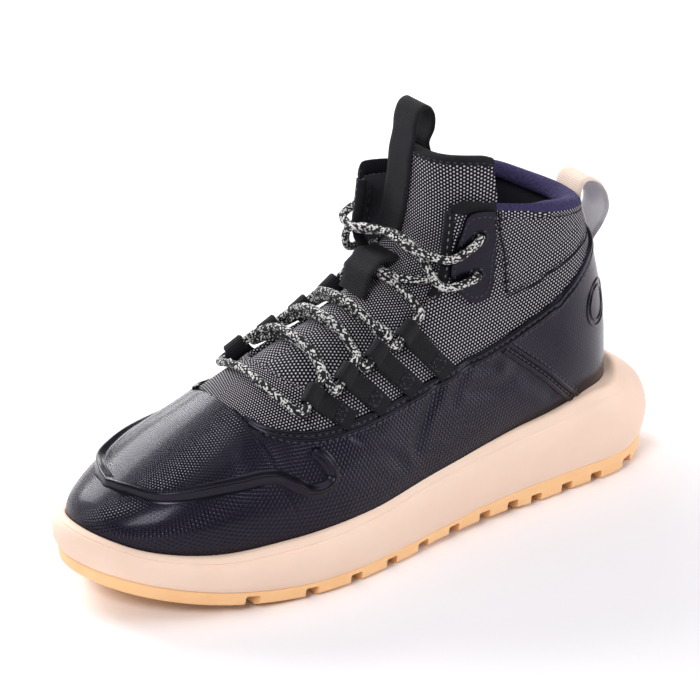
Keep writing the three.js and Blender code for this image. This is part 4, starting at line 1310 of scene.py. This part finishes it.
def make_midsole():
    shares = [0, 0.03, 0.08, 0.14, 0.2, 0.28, 0.36, 0.44, 0.52, 0.6, 0.68, 0.74, 0.79, 0.82]
    shares += [0.84, 0.86, 0.88, 0.91, 0.94, 0.965, 0.985]

    def wall(up, extra=0.0, rise=0.0):
        inset = (read(WALL_PROFILE, "inset", up, "up") + extra) * RIM_INSET
        heel = read(WALL_PROFILE, "heel", up, "up") * HEEL_ROUND + extra * 4

        def level(along):
            bottom = outsole_top(along) + GAP
            return bottom + (up + rise) * (rim_height(along) - bottom)

        return inset, heel, level, 1

    levels = [wall(0)[:3] + (0,), wall(0, 0.12)]
    levels += [wall(share, 0.1 * exp(-(((share - 0.855) / 0.012) ** 2))) for share in shares]
    levels += [wall(1, 0.14), wall(1, 0.35), wall(1, 0.7, -0.01)]
    levels += [wall(1, 0.7, -0.01)[:3] + (0,)]
    made = thing("midsole", sole_loft(levels, 110), [FOAM])
    cut(made, form_body(LEATHER_STEP + 0.2, 15.4))
    finish("midsole_foam", made, None, ["midsole"], 50)


def make_outsole():
    def arch(at):
        return ARCH_RAISE * ease((at - 0.27) / 0.06) * ease((0.52 - at) / 0.06)

    def bottom(along):
        return underside(along) + arch(along / LENGTH)

    step = OUTSOLE_INSET * 0.75

    def ring(inset, heel, rise):
        return inset, heel, lambda along: bottom(along) + rise, 1

    def under_top(drop):
        return lambda along: outsole_top(along) - drop

    def add_block(mesh, side, along, span, size):
        """A block across the tread that leans with the slope of its underside."""
        slope = (bottom(along + span) - bottom(along - span)) / (2 * span)
        lean = Matrix.Rotation(-atan(slope), 4, "X") @ Matrix.Diagonal((*size, 1))
        place = Matrix.Translation(point(side, along, bottom(along))) @ lean
        bmesh.ops.create_cube(mesh, size=1, matrix=place)

    levels = [
        (OUTSOLE_INSET + LUG_TAPER, LUG_TAPER + step, bottom, 0),
        ring(OUTSOLE_INSET + LUG_TAPER + 0.6, LUG_TAPER + step + 0.6, 0),
        ring(OUTSOLE_INSET + LUG_TAPER, LUG_TAPER + step, 0.15),
        ring(OUTSOLE_INSET * 1.5, step * 1.3, LUG_HEIGHT * 0.8),
        ring(OUTSOLE_INSET * 1.3, step, LUG_HEIGHT * 1.1),
        (OUTSOLE_INSET * 1.1, step * 0.6, under_top(2.5), 1),
        (OUTSOLE_INSET, step / 3, under_top(0.5), 1),
        (OUTSOLE_INSET + 0.4, step / 3 + 0.4, under_top(0), 1),
        (OUTSOLE_INSET, step / 3, under_top(0), 0),
    ]
    made = thing("outsole", sole_loft(levels, 110), [GUM])
    channels = bmesh.new()
    size = (1.3 * BALL_WIDTH, CHANNEL_WIDTH + CHANNEL_WIDER, 2 * (CHANNEL_DEPTH + CHANNEL_DEEPER))
    for at in CHANNELS:
        add_block(channels, 0, at * LENGTH, CHANNEL_WIDTH / 2, size)
    edges = channels.edges[:]
    bmesh.ops.bevel(channels, geom=edges, offset=0.9, segments=3, profile=0.5, affect="EDGES", material=-1)
    cut(made, thing("channels", channels, []))
    sipes = bmesh.new()
    along, last = SIPE_RANGE
    while along < last:
        if min(abs(along - at * LENGTH) for at in CHANNELS) > SIPE_CLEAR:
            size = (2 * (half_width(along) - SIPE_MARGIN), SIPE_WIDTH, 2 * SIPE_DEPTH)
            add_block(sipes, centre(along), along, 1, size)
        along += SIPE_PITCH
    cut(made, thing("sipes", sipes, []))
    half = GROOVE_WIDTH / 2
    section = [(-half, -3), (half, -3), (half - 0.6, 3.6), (1.4, 4), (-1.4, 4), (-half + 0.6, 3.6)]
    for side in (-1, 1):
        guides = []
        for entry in GROOVE:
            along = entry["at"] * LENGTH
            guides.append(Vector((centre(along) + side * entry["side"] * BALL_WIDTH, along, 0)))
        line = [point(corner.x, corner.y, underside(corner.y)) for corner in smooth_path(guides, 6)]
        cut(made, thing("groove", sweep(line, [Vector((0, 0, 1))] * len(line), section), []))
    finish("outsole_rubber", made, None, ["outsole"], 38)


make_midsole()
make_outsole()


# Tongue, insole and collar
def tongue_turn(row, sign):
    return throat_turn(row, sign, TONGUE_LAP, False)


def tongue_column(row, sign, share):
    """Turn of a column of the tongue, counted from its middle."""
    return 1 - (1 - tongue_turn(row, sign)) * share


@lru_cache(maxsize=None)
def tongue_top(share, sign):
    return top_row(share, sign, TONGUE_EDGE, tongue_column, False)


TONGUE_START = bisect(5, 8, lambda row: tongue_turn(row, 1) < 1) + 0.2
ON_TONGUE = -WALL - GAP


def make_tongue():
    def place(s, t):
        across = 2 * s - 1
        sign, share = (1 if across >= 0 else -1), abs(across)
        row = TONGUE_START + (tongue_top(round(share, 5), sign) - TONGUE_START) * t**1.2
        corner = spot(row, tongue_column(row, sign, share), sign, False)
        fade = ease((t - 0.15) / 0.2) * ease((0.75 - t) / 0.2)
        wrinkle = 0.5 * sin(along_of(corner) * 0.42 + 2 * share) * fade
        return corner, ON_TONGUE + wrinkle * (1 - share)

    mesh = face_out(corner_grid(60, 150, place), Vector((0, -1, 1)))
    weld(mesh, 0.02)
    lift_corners(mesh)
    made = thing("tongue_padding", mesh, [DOTTED, LINING])
    unwrap(made)
    thicken(made, TONGUE, 1, 1)
    finish("tongue_padding", made, None, ["tongue"])


make_tongue()


def make_insole():
    def place(s, t):
        share = (1 - cos(pi * t)) / 2
        along = INSOLE_HEEL_INSET + (LENGTH - INSOLE_INSET - INSOLE_HEEL_INSET) * share
        across = 2 * s - 1
        half = half_width(along, INSOLE_INSET, INSOLE_HEEL_INSET)
        up = bed_height(along) + INSOLE - 0.8 + 1.2 * across**2
        return point(centre(along) + across * half, along, up)

    mesh = face_out(corner_grid(24, 70, place), Vector((0, 0, 1)))
    scale_uv(mesh, 80, 260)
    weld(mesh, 0.02)
    made = thicken(thing("insole_board", mesh, [PLUSH]), 2.5)
    finish("insole_board", made, None, ["insole"])


make_insole()


def make_collar():
    shares = [i / 60 for i in range(61)]
    line, inwards = [], []
    for sign, order in ((1, shares[::-1]), (-1, shares[1:])):
        for share in order:
            row = shell_top(round(share, 5), sign)
            turn = shell_turn(row, sign, share)
            normal = spot_normal(row, turn, sign)
            line.append(spot(row, turn, sign))
            inwards.append(Vector((-normal.x, -normal.y, 0)).normalized())
    last = len(line) - 1
    corners = [Vector((entry["inward"], entry["up"], 0)) for entry in COLLAR_PROFILE]
    profile = smooth_path(corners, 0.13, closed=True)[:-1]

    def place(s, t):
        i = round(t * last)
        corner = profile[round(s * len(profile)) % len(profile)]
        along = along_of(line[i])
        depth = BINDING_DEPTH + (COLLAR_DEPTH - BINDING_DEPTH) * ease((0.29 - along / LENGTH) / 0.07)
        slim = 0.55 + 0.45 * ease(min(t, 1 - t) / 0.04)
        put = line[i] + inwards[i] * corner.x * depth
        put.z += (GAP + corner.y * COLLAR_HEIGHT) * slim
        return put

    mesh = corner_grid(len(profile), last, place, closed=True)
    scale_uv(mesh, 24, length_of(line))
    weld(mesh, 0.01)
    capped(mesh).normal_update()
    for face in mesh.faces:
        middle = face.calc_center_median()
        away = Vector((middle.x - centre(along_of(middle)), (middle.y + 10) * 0.5, 0))
        outer = face.normal.dot(away.normalized()) > 0.35 and face.normal.z < 0.05
        if along_of(middle) > 0.335 * LENGTH:
            face.material_index = 1
        elif outer:
            face.material_index = 2
    made = finish("collar_padding", mesh, [PLUSH, STRAP_WEBBING, DOTTED], ["collar_roll"])


make_collar()


# Straps, keeper and pull loop
def ridge(row, lift):
    """A place along and a height over the middle of the upper's front."""
    here, before, after = (spot(row + step, 1, 1) for step in (0, -0.05, 0.05))
    run, rise = before.y - after.y, after.z - before.z
    size = hypot(run, rise)
    return along_of(here) + lift * rise / size, here.z - lift * run / size


def in_side_view(points, side):
    return [point(side, along, up) for along, up in points]


def across_band(line):
    """Up directions of a band that lies straight across the boot."""
    return [direction.cross(Vector((-1, 0, 0))).normalized() for direction in tangents(line)]


def make_strap():
    surface = ON_TONGUE + STRAP_GAP + WEBBING / 2
    front = [ridge(row, surface) for row in (12.6, 13.6, 14.6, 15.6, 16.4)]
    behind = [ridge(row, ON_TONGUE - TONGUE - STRAP_BACK_GAP - WEBBING / 2) for row in (16.2, 15.4)]
    foot = ridge(16.8, ON_TONGUE)
    top = height(read(TONGUE_EDGE, "up", 0.41))
    size = STRAP_LOOP_SIZE
    loop = [(foot[0] - e["back"] * size, top + e["up"] * size) for e in STRAP_LOOP]
    line = smooth_path(in_side_view([*front, *loop, *behind], centre(foot[0]) - STRAP_SHIFT), 1.2)
    mesh = sweep(line, across_band(line), band_section(STRAP_WIDTH, WEBBING))
    finish("tongue_strap", mesh, [STRAP_WEBBING], ["tongue_pull_strap"])


def make_keeper():
    lift = ON_TONGUE + GAP + WEBBING / 2
    marks = zip((9.9, 10.2, 10.6, 11, 11.4, 11.7, 12), (0, 0.4, 1, 1, 1, 0.4, 0))
    points = [ridge(row, lift + KEEPER_ARCH * arch) for row, arch in marks]
    line = smooth_path(in_side_view(points, centre(points[2][0]) - KEEPER_SHIFT), 1.0)
    mesh = sweep(line, across_band(line), band_section(KEEPER_WIDTH, WEBBING))
    finish("keeper_band", mesh, [BLACK_WEBBING], ["lace_keeper"])


def make_pull():
    low, high = LAST[-4], LAST[-2]
    lean = (high["footAt"] - low["footAt"]) / (high["footUp"] - low["footUp"])
    lift = PULL_GAP + CREAM_WEBBING / 2
    points = []
    for entry in PULL_LINE:
        wall = (low["footAt"] + (entry["up"] - low["footUp"]) * lean) * LENGTH
        points.append((wall - lift - entry["out"] * PULL_DEPTH, height(entry["up"])))
    line = smooth_path(in_side_view(points, centre(0)), 1.0)
    mesh = sweep(line, across_band(line), band_section(PULL_WIDTH, CREAM_WEBBING))
    middle = sum(line, Vector()) / len(line)
    for face in mesh.faces:
        inward = middle - face.calc_center_median()
        inward.x = 0
        face.material_index = int(face.normal.dot(inward) > 0)
    finish("heel_pull", mesh, [CREAM_TAPE, GREY_TAPE], ["heel_pull_loop"])


make_strap()
make_keeper()
make_pull()


# Lace loops
RING = TUNNEL / 2 + WEBBING


@lru_cache(maxsize=None)
def loop_frame(index, sign):
    share = index / (LOOP_COUNT - 1)
    at, up, foot_at = (low + share * (LOOP_LAST[key] - low) for key, low in LOOP_FIRST.items())
    foot_up = read(LEATHER_EDGE, "up", foot_at) + 0.012
    fold, foot = seat(at, up, sign, GAP)[0], seat(foot_at, foot_up, sign, GAP)[0]
    middle, normal = seat((at + foot_at) / 2, (up + foot_up) / 2, sign, GAP)
    down = foot - fold
    down -= normal * down.dot(normal)
    length = down.length
    down.normalize()
    return middle - down * length / 2, down, normal, normal.cross(down), length


def make_loops():
    for name, sign in SIDES:
        for index in range(LOOP_COUNT):
            origin, down, normal, across, length = loop_frame(index, sign)
            thick = WEBBING * 0.85
            radius = TUNNEL / 2 + WEBBING / 2
            turns = [-pi / 2 - pi * i / 7 for i in range(7)]
            path = [(length + 3, 0.5), (length, 0.75), (length * 0.6, 0.75), (3, 0.75)]
            path += [(radius * cos(turn), RING + radius * sin(turn)) for turn in turns]
            path += [(radius * 0.95, RING + radius * 0.1), (RING * 0.98, 3.2), (RING + 2, 2.15)]
            path += [(length * 0.62, 2.0), (length * 0.68, 1.9)]
            line = smooth_path([origin + down * x + normal * y for x, y in path], 0.9)
            ups = [direction.cross(across) for direction in tangents(line)]
            mesh = sweep(line, ups, band_section(LOOP_WIDTH, thick, 6))
            which = f"{name}_{index + 1}"
            finish(f"lace_webbing_{which}", mesh, [BLACK_WEBBING], [f"lace_loop_{which}"])


make_loops()


# Lace
def over_tongue(row, lift):
    along, up = ridge(row, lift)
    return point(centre(along), along, up)


def way_out(index, sign, way):
    """Two points beyond a mouth of a loop: its heelward one for way 1, its toeward one for way -1."""
    origin, _, normal, across, _ = loop_frame(index, sign)
    ahead = across * copysign(1, across.y) * way
    return [origin + normal * RING + ahead * (LOOP_WIDTH / 2 + reach) for reach in (MOUTH_GAP, MOUTH_LEAD)]


def on_top(surface):
    return surface + LACE_GAP + LACE / 2


def flank(row, sign, lift):
    return lifted(row, FLANK_TURN, sign, lift)


def across_tongue(row, sign, lift):
    return [flank(row, sign, lift), over_tongue(row, lift), flank(row, -sign, lift)]


def strand_lift(surface, side, step=LACE_STEP):
    return on_top(surface) + (step if side < 0 else 0)


def lace_end(side):
    """Guide points of one end of the lace, from its first loop up to its last eyelet."""
    points = []
    for index, row in enumerate(CROSSING_ROWS):
        points += way_out(index, side, 1)
        points += across_tongue(row, side, strand_lift(ON_TONGUE, side))
        points += way_out(index + 1, -side, -1)[::-1]
        side = -side
    lift = strand_lift(ON_TONGUE, side, KEEPER_STEP)
    points += way_out(LOOP_COUNT - 1, side, 1)
    points += [flank(FLAP_CROSSING_ROW, side, lift), over_tongue(FLAP_CROSSING_ROW, lift)]
    points.append(lifted(*FLAP_END, -side, on_top(ON_TONGUE)))
    side = -side
    hands = (side, -side)
    low, high = (seat(entry["at"], entry["up"], hand) for entry, hand in zip(EYELETS, hands))
    points += [low[0] + low[1] * out for out in (-5.5, -1, 3.2)]
    lift = strand_lift(ON_TONGUE + GAP + WEBBING, side)
    edges = []
    for (row, turn, flared_turn), hand in zip(FLAP_EDGES, hands):
        edges.append(lifted(row, flared_turn if hand < 0 else turn, hand, on_top(0) + FLAP_SLACK))
    points += [edges[0], *across_tongue(TOP_CROSSING_ROW, side, lift), edges[1]]
    points += [high[0] + high[1] * out for out in (3.2, 0.5, -2)]
    return points


def make_lace_cord():
    bar = [*way_out(0, -1, -1), *across_tongue(BAR_ROW, -1, on_top(0)), *way_out(0, 1, -1)[::-1]]
    line = smooth_path([*reversed(lace_end(-1)), *bar, *lace_end(1)], 0.9)
    section = round_section(LACE_DRAWN, LACE_DRAWN)
    mesh = sweep(line, carried(line, Vector((0, 0, 1))), section, taper=(0.3, 400))
    crossings = [f"lace_crossing_{i}" for i in range(1, 6)]
    finish("lace_cord", mesh, [CORD], ["lace_bar", *crossings], 80)


make_lace_cord()


# Eyelet patches
def make_patch(name, sign):
    def place(s, t):
        row, turn = 9.5 + 7.5 * t, 0.3 + 0.5 * s
        return spot(row, turn, sign), GAP + PATCH

    mesh = face_out(corner_grid(40, 110, place), Vector((sign, 0, 0)))
    lift_corners(mesh)
    sheet = thicken(thing("sheet", mesh, [SMOOTH_LEATHER]), PATCH)
    outline = [seat(entry["at"], entry["up"], sign)[0] for entry in PATCH_OUTLINE]
    ring = smooth_path([Vector((0, corner.y, corner.z)) for corner in outline], 1.2, closed=True)[:-1]
    prism = bmesh.new()
    face = prism.faces.new([prism.verts.new(corner + Vector((sign * 5, 0, 0))) for corner in ring])
    grown = bmesh.ops.extrude_face_region(prism, geom=[face])["geom"]
    bmesh.ops.translate(
        prism, verts=[part for part in grown if isinstance(part, bmesh.types.BMVert)], vec=(sign * 60, 0, 0)
    )
    outward(prism)
    cut(sheet, thing("prism", prism, []), "INTERSECT")
    holes = bmesh.new()
    for entry in EYELETS:
        middle, normal = seat(entry["at"], entry["up"], sign)
        turn = normal.to_track_quat("Z", "Y").to_matrix().to_4x4()
        bmesh.ops.create_cone(
            holes, cap_ends=True, segments=28, radius1=EYELET / 2, radius2=EYELET / 2, depth=14,
            matrix=Matrix.Translation(middle) @ turn,
        )
    cut(sheet, thing("holes", holes, []))
    finish(f"patch_{name}", sheet, None, [f"eyelet_patch_{name}"], 35)


for side_name, side_sign in SIDES:
    make_patch(side_name, side_sign)


# Edges, seams and stitches
def beside(line, normals, away):
    """The same line moved sideways on its surface."""
    sides = [up.cross(ahead).normalized() for up, ahead in zip(normals, tangents(line))]
    return [corner + side * away for corner, side in zip(line, sides)]


THROAT_START = bisect(5, 9, lambda row: throat_turn(row, 1) < 1) + 0.002


def throat_line(lift, inset=0.0, signs=(1, -1)):
    """The throat's edge from the outer flap's top around its front to the inner flap's top."""
    line, normals = [], []
    for sign in signs:
        levels = level_rows(240, THROAT_START, shell_top(1.0, sign), 2.2)
        half, ups = edge_line(throat_turn, levels, sign, lift, inset)
        if sign > 0:
            half, ups = half[::-1], ups[::-1]
        line += half
        normals += ups
    return resample(line, normals, 1.4)


def make_throat_binding():
    """The textile's own fold around the front of the throat, and black padded tape on the flaps."""
    line, ups = throat_line(-WALL / 2)
    front = [i for i, corner in enumerate(line) if corner.z < FLAP_FOOT]
    low, high = min(front), max(front)
    fold = sweep(line[low : high + 1], ups[low : high + 1], round_section(2.4, WALL + 0.2, 12))
    on_upper("throat_fold", fold, DOTTED)
    pale, bands = [], []
    for start, stop in ((0, low + 3), (high - 2, len(line))):
        bands.append(sweep(line[start:stop], ups[start:stop], round_section(5.2, 5.0, 14)))
        top = [corner + up * 2.25 for corner, up in zip(line[start:stop], ups[start:stop])]
        pale.append(stitch_row(top, ups[start:stop], 3.4, 1.8, 0.7))
    on_upper("flap_binding", joined(bands), STRAP_WEBBING)
    for _, sign in SIDES:
        for inset in (6.5, 13):
            inner, normals = throat_line(-WALL - 0.1, inset, (sign,))
            flap = [i for i, corner in enumerate(inner) if corner.z > FLAP_FOOT + 2]
            low, high = min(flap), max(flap)
            turned = [-normal for normal in normals[low : high + 1]]
            pale.append(stitch_row(inner[low : high + 1], turned, 4.2, 2.6, 0.7))
    on_upper("flap_stitches", joined(pale), PALE_THREAD)


make_throat_binding()


PANEL_SEAM = ((97, 106.5), (80, 109.5), (62, 115.5), (49, 119), (39, 120))
FRONT_SEAM = ((101.5, 149), (100, 138), (98.5, 128), (97.5, 118), (97, 109))
HEEL_SEAM = ((97, 84), (90, 78), (83, 72), (75, 65), (68, 58), (60, 50), (54, 45))


def make_seams():
    for name, sign in SIDES:
        panel, panel_ups = side_line(PANEL_SEAM, sign, 0.3)
        front, front_ups = side_line(FRONT_SEAM, sign, 0.25)
        heel, heel_ups = side_line(HEEL_SEAM, sign, LEATHER_STEP)
        # The panel and front seams are thin black ridges: partly the seam's own line, partly painted shade
        # standing in for the shadow in the seam's pinch.
        seam_lines_and_shade = [
            sweep(panel, panel_ups, round_section(1.0, 0.8, 10), taper=(0.2, 12)),
            sweep(front, front_ups, round_section(0.9, 0.6, 10)),
        ]
        on_upper(f"panel_seam_{name}", joined(seam_lines_and_shade), STRAP_WEBBING)
        threads = [stitch_row(beside(panel, panel_ups, 2.0), panel_ups, 3.0, 2.1, 0.6)]
        for away in (1.6, -1.6):
            threads.append(stitch_row(beside(front, front_ups, away), front_ups, 2.8, 1.9, 0.6))
        for away in (1.9, -1.9):
            threads.append(stitch_row(beside(heel, heel_ups, away), heel_ups, 3.2, 2.5, 0.8))
        on_upper(f"seam_stitches_{name}", joined(threads), BLACK_THREAD)
        section = round_section(2.6, 2.4, 10)
        folds = [sweep(beside(heel, heel_ups, away), heel_ups, section) for away in (0.2, -3.4)]
        on_upper(f"heel_seam_{name}", joined(folds), SMOOTH_LEATHER)


make_seams()


def make_oval():
    """A plain pressed oval on the heel."""
    parts = []
    for wide, tall in ((9, 10.5), (6.6, 8)):
        points = [(41 + wide * cos(angle), 86 + tall * sin(angle)) for angle in circle(20)]
        line, ups = side_line(points, 1, LEATHER_STEP, 1.0, closed=True)
        parts.append(sweep(line, ups, round_section(1.5, 1.3, 8), closed=True))
    on_upper("heel_oval", joined(parts), SMOOTH_LEATHER)


make_oval()


def make_patch_trim(name, sign):
    lift = GAP + PATCH
    outline = [Vector((e["at"] * LENGTH, height(e["up"]), 0)) for e in PATCH_OUTLINE]
    middle = sum(outline, Vector()) / len(outline)
    drawn_in = [corner + (middle - corner).normalized() * 2.3 for corner in outline]
    line, ups = side_line([(c.x, c.y) for c in drawn_in], sign, lift, 1.2, closed=True)
    stitches = stitch_row(line, ups, 2.6, 1.8, 0.7)
    finish(f"patch_stitches_{name}", stitches, [BLACK_THREAD])
    rims = []
    for entry in EYELETS:
        hole, normal = seat(entry["at"], entry["up"], sign, lift)
        side = normal.orthogonal().normalized()
        ahead = normal.cross(side)
        size = EYELET / 2 + 0.45
        ring = [hole + (side * cos(angle) + ahead * sin(angle)) * size for angle in [*circle(28), 2 * pi]]
        rims.append(sweep(ring, [normal] * len(ring), round_section(1.5, 1.0, 8), closed=True))
    finish(f"eyelet_rims_{name}", joined(rims), [SMOOTH_LEATHER])


for side_name, side_sign in SIDES:
    make_patch_trim(side_name, side_sign)


def make_loop_stitches():
    parts = []
    for _, sign in SIDES:
        for index in range(LOOP_COUNT):
            origin, down, normal, across, length = loop_frame(index, sign)
            x0, x1, half, rise = RING + 7.5, length - 1.6, 3.2, 1.42

            def at(x, y):
                return origin + down * x + across * y + normal * rise

            corners = [at(x0, -half), at(x1, -half), at(x1, half), at(x0, half)]
            for i, j in ((0, 1), (1, 2), (2, 3), (3, 0), (0, 2), (1, 3)):
                line = even([corners[i], corners[j]], 1.0)
                parts.append(stitch_row(line, [normal] * len(line), 2.2, 1.6, 0.5))
    finish("loop_stitches", joined(parts), [BLACK_THREAD])


make_loop_stitches()


def make_tongue_edge():
    line, ups = [], []
    for i in range(91):
        across = 2 * i / 90 - 1
        sign, share = (1 if across >= 0 else -1), abs(across)
        row = tongue_top(round(share, 5), sign)
        turn = tongue_column(row, sign, share)
        normal = spot_normal(row, turn, sign, False)
        line.append(spot(row, turn, sign, False) + normal * (ON_TONGUE - TONGUE / 2))
        ups.append(normal)
    line, ups = resample(line, ups, 1.3)
    mesh = sweep(line, ups, round_section(4.4, 6.0, 14))
    finish("tongue_binding", mesh, [STRAP_WEBBING])
    front = [corner + up * 2.9 for corner, up in zip(line, ups)]
    finish("tongue_stitches", stitch_row(front, ups, 3.2, 2.0, 0.6), [BLACK_THREAD])


make_tongue_edge()


# Camera, lights and floor
CAMERA_TURN, CAMERA_RISE, CAMERA_ROLL = radians(55.6), radians(25.0), radians(1.01)
CAMERA_TARGET = Vector((0, -96.52, 60))
CAMERA_SHIFT = (-3.3, 20.3)
CAMERA_DISTANCE = 1937
CAMERA_LENS = 222.84
LIGHTS = (
    ("left softbox", (-1.4, -0.35, 0.9), (0, -0.1, 0.05), (0.9, 0.7), 25),
    ("front softbox", (0.75, -1.3, 1.25), (0, -0.1, 0.05), (0.6, 0.5), 14.5),
    ("low softbox", (-1.5, 0.55, 0.4), (0, -0.15, 0.08), (0.9, 0.5), 9),
    ("top softbox", (0.1, 0.1, 1.6), (0, -0.1, 0.05), (1.4, 1.4), 8),
    ("back softbox", (0.85, 1.2, 0.6), (0, -0.05, 0.05), (0.8, 0.5), 11),
)
FLOOR_RADIUS = 12000


def make_camera():
    turn, rise, roll = CAMERA_TURN, CAMERA_RISE, CAMERA_ROLL
    back = Vector((sin(turn) * cos(rise), -cos(turn) * cos(rise), sin(rise)))
    right = Vector((cos(turn), sin(turn), 0))
    up = back.cross(right)
    target = CAMERA_TARGET + right * CAMERA_SHIFT[0] + up * CAMERA_SHIFT[1]
    place = target + back * CAMERA_DISTANCE
    x_axis = right * cos(roll) - up * sin(roll)
    y_axis = right * sin(roll) + up * cos(roll)
    data = bpy.data.cameras.new("camera")
    data.lens = CAMERA_LENS
    data.sensor_width = 36
    data.clip_start = 0.05
    made = bpy.data.objects.new("camera", data)
    COLLECTION.objects.link(made)
    turned = Matrix((x_axis, y_axis, back)).transposed().to_4x4()
    made.matrix_world = Matrix.Translation(place * MM) @ turned
    bpy.context.scene.camera = made


def area_light(name, place, target, size, power):
    data = bpy.data.lights.new(name, "AREA")
    data.shape = "RECTANGLE"
    data.size, data.size_y = size
    data.energy = power
    made = bpy.data.objects.new(name, data)
    COLLECTION.objects.link(made)
    made.location = place
    made.rotation_euler = (Vector(target) - Vector(place)).to_track_quat("-Z", "Y").to_euler()


make_camera()
for light in LIGHTS:
    area_light(*light)
world = bpy.data.worlds.new("studio")
bpy.context.scene.world = world
world.use_nodes = True
backdrop = world.node_tree.nodes["Background"].inputs
backdrop["Color"].default_value = linear("#fbf9fc")
backdrop["Strength"].default_value = 0.28
ground = bmesh.new()
bmesh.ops.create_circle(ground, cap_ends=True, segments=64, radius=FLOOR_RADIUS)
floor_sheet = thing("studio_floor", ground, [make_floor()])
bpy.context.scene.view_settings.view_transform = "Standard"
